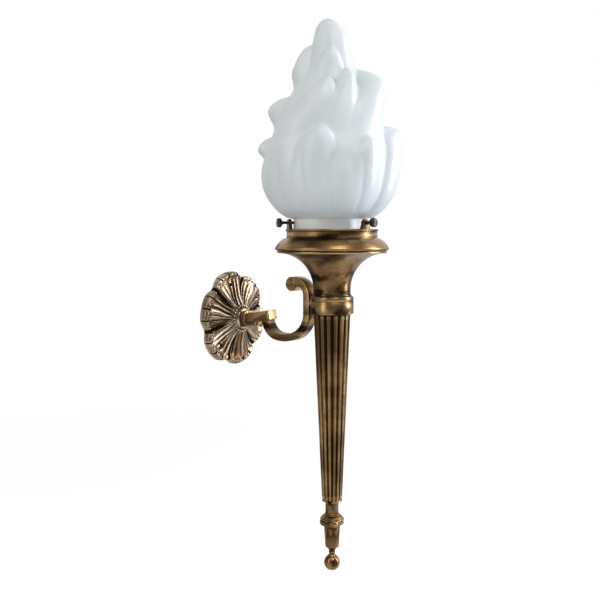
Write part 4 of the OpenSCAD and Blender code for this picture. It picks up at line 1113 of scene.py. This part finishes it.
def curve(points, x):
    i = 0
    while i < len(points) - 2 and x >= points[i + 1][0]:
        i += 1
    (x0, y0), (x1, y1) = points[i], points[i + 1]
    w, t = x1 - x0, (x - x0) / (x1 - x0)
    start = (2 * t ** 3 - 3 * t * t + 1) * y0 + (t ** 3 - 2 * t * t + t) * w * slope(points, i)
    return start + (3 * t * t - 2 * t ** 3) * y1 + (t ** 3 - t * t) * w * slope(points, i + 1)


def tongue_lift(tongue, degrees, t):
    tip_turn, tip_t, thick, half_width, lean, rounding, sinking, stays = tongue
    below = tip_t - t
    if below <= 0:
        return 0
    rise = math.sqrt(max(1 - (1 - min(below / rounding, 1)) ** 2, 0))
    sink = 1 - (1 - stays) * swell((below - rounding) / sinking)
    width = half_width * max(math.sin(math.radians(90 * min(below / (2.6 * rounding), 1))) ** 0.55, 0.01)
    off = (degrees - tip_turn + 4 * lean * below + 180) % 360 - 180
    s = abs(off) / width
    if s >= 1:
        return 0
    return thick * rise * sink * (1 - s ** 1.7) ** 0.75 * (1 - 0.05 * s)


def flame_radius(degrees, t):
    fold = 2.2 * abs(math.cos(math.radians(7 * degrees + 60 * t))) ** 0.7 - 1.2
    ribs = fold * swell((0.42 - t) / 0.25) * swell(t / 0.04)
    pushed = sum(tongue_lift(tongue, degrees, t) ** BLEND_POWER for tongue in TONGUES) ** (1 / BLEND_POWER)
    return curve(BODY_LINE, t) + ribs + pushed


def flame_sway(t):
    reach = SWAY * swell((t - 0.5) / 0.3) * swell((1 - t) / 0.12)
    return reach * math.cos(math.radians(CAMERA_TURN)), reach * math.sin(math.radians(CAMERA_TURN))

# %% [markdown]
# Each wall is a tube of 240 sides and 156 rows. Subdividing its upright edges makes the rows, and then
# every point goes to its place: the first rows are the straight neck, and the others follow the flame.

# %% Glass walls
GLASS_SIDES, GLASS_ROWS, NECK_ROWS = 240, 156, 8


def is_upright(tube, edge):
    low, high = (tube.data.vertices[i].co for i in edge.vertices)
    return abs(low.x - high.x) + abs(low.y - high.y) < 0.0001


def glass_tube(name, inside):
    start_fresh()
    bpy.ops.mesh.primitive_cylinder_add(
        vertices=GLASS_SIDES, radius=1, depth=1, end_fill_type="NOTHING", location=(0, 0, 0.5))
    tube = new_piece(name)
    settle(tube)
    for cuts in (11, 12):
        select_in(tube, "EDGE", lambda edge: is_upright(tube, edge))
        bpy.ops.mesh.subdivide(number_cuts=cuts)
        leave_edit()
    for point in tube.data.vertices:
        row = round(point.co.z * GLASS_ROWS)
        degrees = math.degrees(math.atan2(point.co.y, point.co.x))
        if row < NECK_ROWS:
            r = NECK_R - (GLASS_T if inside else 0)
            z = SEAT + (NECK_H - 1.5) * row / (NECK_ROWS - 1)
            x_off, y_off = 0, 0
        else:
            share = (row - NECK_ROWS) / (GLASS_ROWS - NECK_ROWS)
            t = 1 - (1 - share) ** 1.25
            r = flame_radius(degrees, t)
            z = SEAT + NECK_H + BOWL_H * t
            x_off, y_off = flame_sway(t)
            if inside:
                r = max(r - 1.25 * GLASS_T, 0 if row == GLASS_ROWS else 0.8)
                z = SEAT + NECK_H + GLASS_T + (BOWL_H - 5 * GLASS_T) * t
        around = math.radians(degrees)
        x = GLASS_MIDDLE[0] + x_off + r * math.cos(around)
        y = GLASS_MIDDLE[1] + y_off + r * math.sin(around)
        point.co = mm(x, y, z)
    return tube


outer_wall = glass_tube("flame_outer", False)
tidy_mesh(outer_wall)
inner_wall = glass_tube("flame_inner", True)
tidy_mesh(inner_wall)
edit_all(inner_wall)
bpy.ops.mesh.flip_normals()
leave_edit()
flame = join([outer_wall, inner_wall], "flame_glass_pressed")
print("flame:", len(flame.data.vertices), "points")

# %% [markdown]
# The two walls are closed into one skin at the foot of the neck by bridging their open rings. The inner
# wall already faces inwards, so the whole skin points out of the glass.

# %% Close the foot of the glass
pick(flame)
bpy.ops.object.mode_set(mode="EDIT")
bpy.ops.mesh.select_mode(type="EDGE")
bpy.ops.mesh.select_all(action="DESELECT")
bpy.ops.mesh.select_non_manifold(
    extend=False, use_wire=False, use_boundary=True, use_multi_face=False, use_non_contiguous=False,
    use_verts=False)
bpy.ops.mesh.bridge_edge_loops()
leave_edit()
smooth(flame, 60)
hand_over(flame, flame_glass, "shade", ("glass_neck", "glass_bowl", "glass_crown"))

# %% [markdown]
# ## Lampholder and bulb
# The lampholder is a pressed brass cap and skirt. The skirt has a rolled bead where the two meet and a
# pressed groove. Both are thin shells, so each outline goes up the outside and comes back down the
# inside.

# %% Lampholder
cap_outline = [(5.05, 99.5), (17.2, 99.5)] + arc((17.5, 102.5), 3, -85, 0, 8)
cap_outline += [(20.5, 108), (20.2, 108.4), (20.2, 109.2), (20.5, 109.6), (20.5, 117.5), (19, 117.5),
                (19, 101.7), (5.05, 101.7)]
holder_cap = turn("holder_cap_pressed", cap_outline, 128)
hand_over(holder_cap, holder_brass, instead_of=("holder_cap",))
skirt_outline = [(18.5, 117.5), (20.6, 117.5)] + arc((20.2, 118.9), 1.1, -50, 60, 8)
skirt_outline += [(20.5, 121.5), (20.5, 126), (20.2, 126.3), (20.2, 126.9), (20.5, 127.2), (20.5, 144)]
skirt_outline += arc((19.5, 144.5), 1, 0, 90, 5) + [(14.0, 145.5), (14.0, 143.5), (18.5, 143.5)]
holder_skirt = turn("holder_skirt_pressed", skirt_outline, 128)
hand_over(holder_skirt, holder_brass, instead_of=("holder_skirt",))

# %% [markdown]
# The bulb's cap carries a rolled thread, a soft wave that climbs one pitch each turn. A screw modifier
# would make it too, but a plain tube with many rows that is shaped by the wave lets it die out at both
# ends.

# %% Rolled threads
THREAD_PITCH, THREAD_DEPTH, THREAD_FADE = 3.6, 0.75, 2.5
CAP_R, CAP_FOOT, CAP_TOP = 13.1, 123.7, 144.7


def rolled(piece, low, high, inner_limit):
    for point in piece.data.vertices:
        x, y, z, r = from_axis(point)
        if r < inner_limit:
            continue
        phase = math.tau * z / THREAD_PITCH - math.atan2(y, x)
        fade = swell((z - low) / THREAD_FADE) * swell((high - z) / THREAD_FADE)
        press_to(point, y, r, r - THREAD_DEPTH * (0.5 - 0.5 * math.cos(phase)) * fade)


cap_rows = [(CAP_R, CAP_FOOT + 0.4 * i) for i in range(1, 52)]
bulb_cap_outline = [(0, CAP_FOOT), (12.4, CAP_FOOT)] + cap_rows + [(CAP_R, CAP_TOP), (0, CAP_TOP)]
bulb_cap = turn("bulb_cap_rolled", bulb_cap_outline, 96, closed=False)
rolled(bulb_cap, 124.5, 144, 12.8)
smooth(bulb_cap, 50)
hand_over(bulb_cap, aluminium, "bulb", ("bulb_cap",))

# %% [markdown]
# The bulb is blown: a smooth stem widens into a ball. The stem follows a curve through four radii, the
# ball is an arc, and both are one outline on the lathe, so the glass has no seam where they meet.

# %% Bulb glass
BULB_STEM = [(0, 12.7), (0.25, 14.6), (0.75, 26.6), (1, 30)]
STEM_LONG, STEM_ROWS, BALL_Z = 50, 40, 194.7
bulb_outline = [(0, CAP_TOP), (12.7, CAP_TOP)]
bulb_outline += [(curve(BULB_STEM, i / STEM_ROWS), CAP_TOP + STEM_LONG * i / STEM_ROWS) for i in range(1, 41)]
bulb_outline += arc((0, BALL_Z), 29.999, 2, 90, 44)
bulb = turn("bulb_blown", bulb_outline[:-1] + [(0, BALL_Z + 30)], 96, closed=False)
hand_over(bulb, bulb_frost, "bulb", ("bulb_glass",))

# %% [markdown]
# ## Terminal block and nuts
# The terminal block and the nuts have the right shape but sharp corners. Each is copied, its loose
# triangles are merged back into flat faces, and its edges are rounded a little, as moulding and stamping
# leave them.

# %% Softened blocks and nuts
def softened(node, name, width):
    piece = copy_of(nodes[node], name)
    for key in list(piece.keys()):
        del piece[key]
    piece.parent = None
    piece.matrix_world = Matrix.Identity(4)
    tidy_mesh(piece, 0.00001)
    edit_all(piece)
    bpy.ops.mesh.dissolve_limited(angle_limit=math.radians(2))
    leave_edit()
    soften_edges(piece, width, 40, 2)
    smooth(piece, 35)
    return piece


hand_over(softened("terminal_block", "terminal_block_moulded", 0.5), white_plastic,
          instead_of=("terminal_block",))
for node in ("wall_nut", "tail_nut", "gallery_nut"):
    hand_over(softened(node, node + "_stamped", 0.35), zinc, instead_of=(node,))

# %% [markdown]
# ## The pieces that keep their shape
# Washers, the rod, the porcelain core, the contacts and the wires are right as they are, and hardly
# anything of them is seen. They only take their finish.

# %% Finishes of the kept pieces
KEPT = {"wall_washer": zinc, "saddle_washer": zinc, "tie_rod": zinc, "gallery_washer": zinc,
        "terminal_screws": zinc, "bulb_contact": zinc,
        "earth_tag": bare_brass, "earth_screw": bare_brass, "centre_contact": bare_brass,
        "screw_sleeve": bare_brass, "holder_core": porcelain, "bulb_insulator": black_glass,
        "live_lead": brown_wire, "neutral_lead": blue_wire, "earth_lead": green_wire}
for name, material in KEPT.items():
    nodes[name].data.materials.clear()
    nodes[name].data.materials.append(material)
print("kept pieces:", len(KEPT))

# %% [markdown]
# ## Floor and studio
# The photograph has a white ground. The floor is pale and lies below the finial, and it keeps a faint
# shadow. More lamp light would make it white but would bleach the glass, so a glow that only the camera
# sees lifts it, a little more where it is far from the lamps.

# %% Floor
start_fresh()
FLOOR_Z = -0.42
bpy.ops.mesh.primitive_plane_add(size=30, location=(0, -0.1, FLOOR_Z))
floor = new_piece("studio_floor")
settle(floor)
material, tree, shader, vector = start_material("studio_floor")
shader.inputs["Roughness"].default_value = 0.9
shader.inputs["Specular IOR Level"].default_value = 0.1
from_light = add(tree, "ShaderNodeVectorMath", operation="DISTANCE")
wire(tree, vector, from_light.inputs[0])
from_light.inputs[1].default_value = (0.25, 0.25, FLOOR_Z)
far = remap(tree, from_light.outputs["Value"], 0.5, 2.2)
shader.inputs["Base Color"].default_value = (0.82, 0.82, 0.82, 1)
camera_ray = add(tree, "ShaderNodeLightPath").outputs["Is Camera Ray"]
glow = add(tree, "ShaderNodeEmission")
lift = remap(tree, far, 0, 1, 0.34, 0.62)
wire(tree, maths(tree, "MULTIPLY", camera_ray, lift), glow.inputs["Strength"])
both = add(tree, "ShaderNodeAddShader")
tree.links.new(shader.outputs[0], both.inputs[0])
tree.links.new(glow.outputs[0], both.inputs[1])
tree.links.new(both.outputs[0], [n for n in tree.nodes if n.type == "OUTPUT_MATERIAL"][0].inputs[0])
floor.data.materials.append(material)
print("floor at", FLOOR_Z)

# %% [markdown]
# The room is white to the camera and through the glass. What the brass mirrors is a bright wall behind
# the light and a dim room in front of it, as in a studio, and that gives dark brass its contrast.
# Everything else gets an even grey light, at which a colour shows about as it is written.

# %% World
TO_CAMERA = (-0.819, -0.574, 0)
BRIGHT_WALL, DIM_WALL, PLAIN_LIGHT = 0.9, 0.14, (0.5, 0.5, 0.5, 1)
world = bpy.data.worlds.new("studio")
bpy.context.scene.world = world
world.use_nodes = True
tree = world.node_tree
tree.nodes.clear()
path = add(tree, "ShaderNodeLightPath")
facing = add(tree, "ShaderNodeVectorMath", operation="DOT_PRODUCT")
wire(tree, add(tree, "ShaderNodeTexCoord").outputs["Generated"], facing.inputs[0])
facing.inputs[1].default_value = TO_CAMERA
room = remap(tree, facing.outputs["Value"], -0.6, 0.5, BRIGHT_WALL, DIM_WALL)
lit = blend(tree, path.outputs["Is Glossy Ray"], PLAIN_LIGHT, room)
seen = maths(tree, "MAXIMUM", path.outputs["Is Camera Ray"], path.outputs["Is Transmission Ray"])
ground = add(tree, "ShaderNodeBackground")
wire(tree, blend(tree, seen, lit, (1, 1, 1, 1)), ground.inputs["Color"])
tree.links.new(ground.outputs[0], add(tree, "ShaderNodeOutputWorld").inputs[0])
print("world nodes:", len(tree.nodes))

# %% [markdown]
# Three soft lamps: a narrow cool one at the right that draws a line down the turned pieces, a broad one
# high in front, and a weak warm strip at the left that lights the edge of the rosette.

# %% Lamps
def soft_light(name, spot, aim, size, watts, colour):
    lamp = bpy.data.lights.new(name, "AREA")
    lamp.shape = "RECTANGLE"
    lamp.size, lamp.size_y = size
    lamp.energy = watts
    lamp.color = colour
    holder = bpy.data.objects.new(name, lamp)
    holder.location = spot
    holder.rotation_euler = (Vector(spot) - Vector(aim)).to_track_quat("Z", "Y").to_euler()
    bpy.context.scene.collection.objects.link(holder)
    print(name, [round(v, 3) for v in spot])


soft_light("cool_right", (0.75, -1.05, 0.35), (0, -0.1, 0.0), (0.22, 1.3), 18, (0.90, 0.93, 1.0))
soft_light("high_front", (-0.7, -1.1, 1.5), (0, -0.1, 0.1), (1.0, 1.0), 15, (1.0, 0.97, 0.93))
soft_light("left_strip", (-1.3, 0.2, 0.5), (0, -0.1, 0.0), (0.3, 1.4), 6, (1.0, 0.95, 0.88))
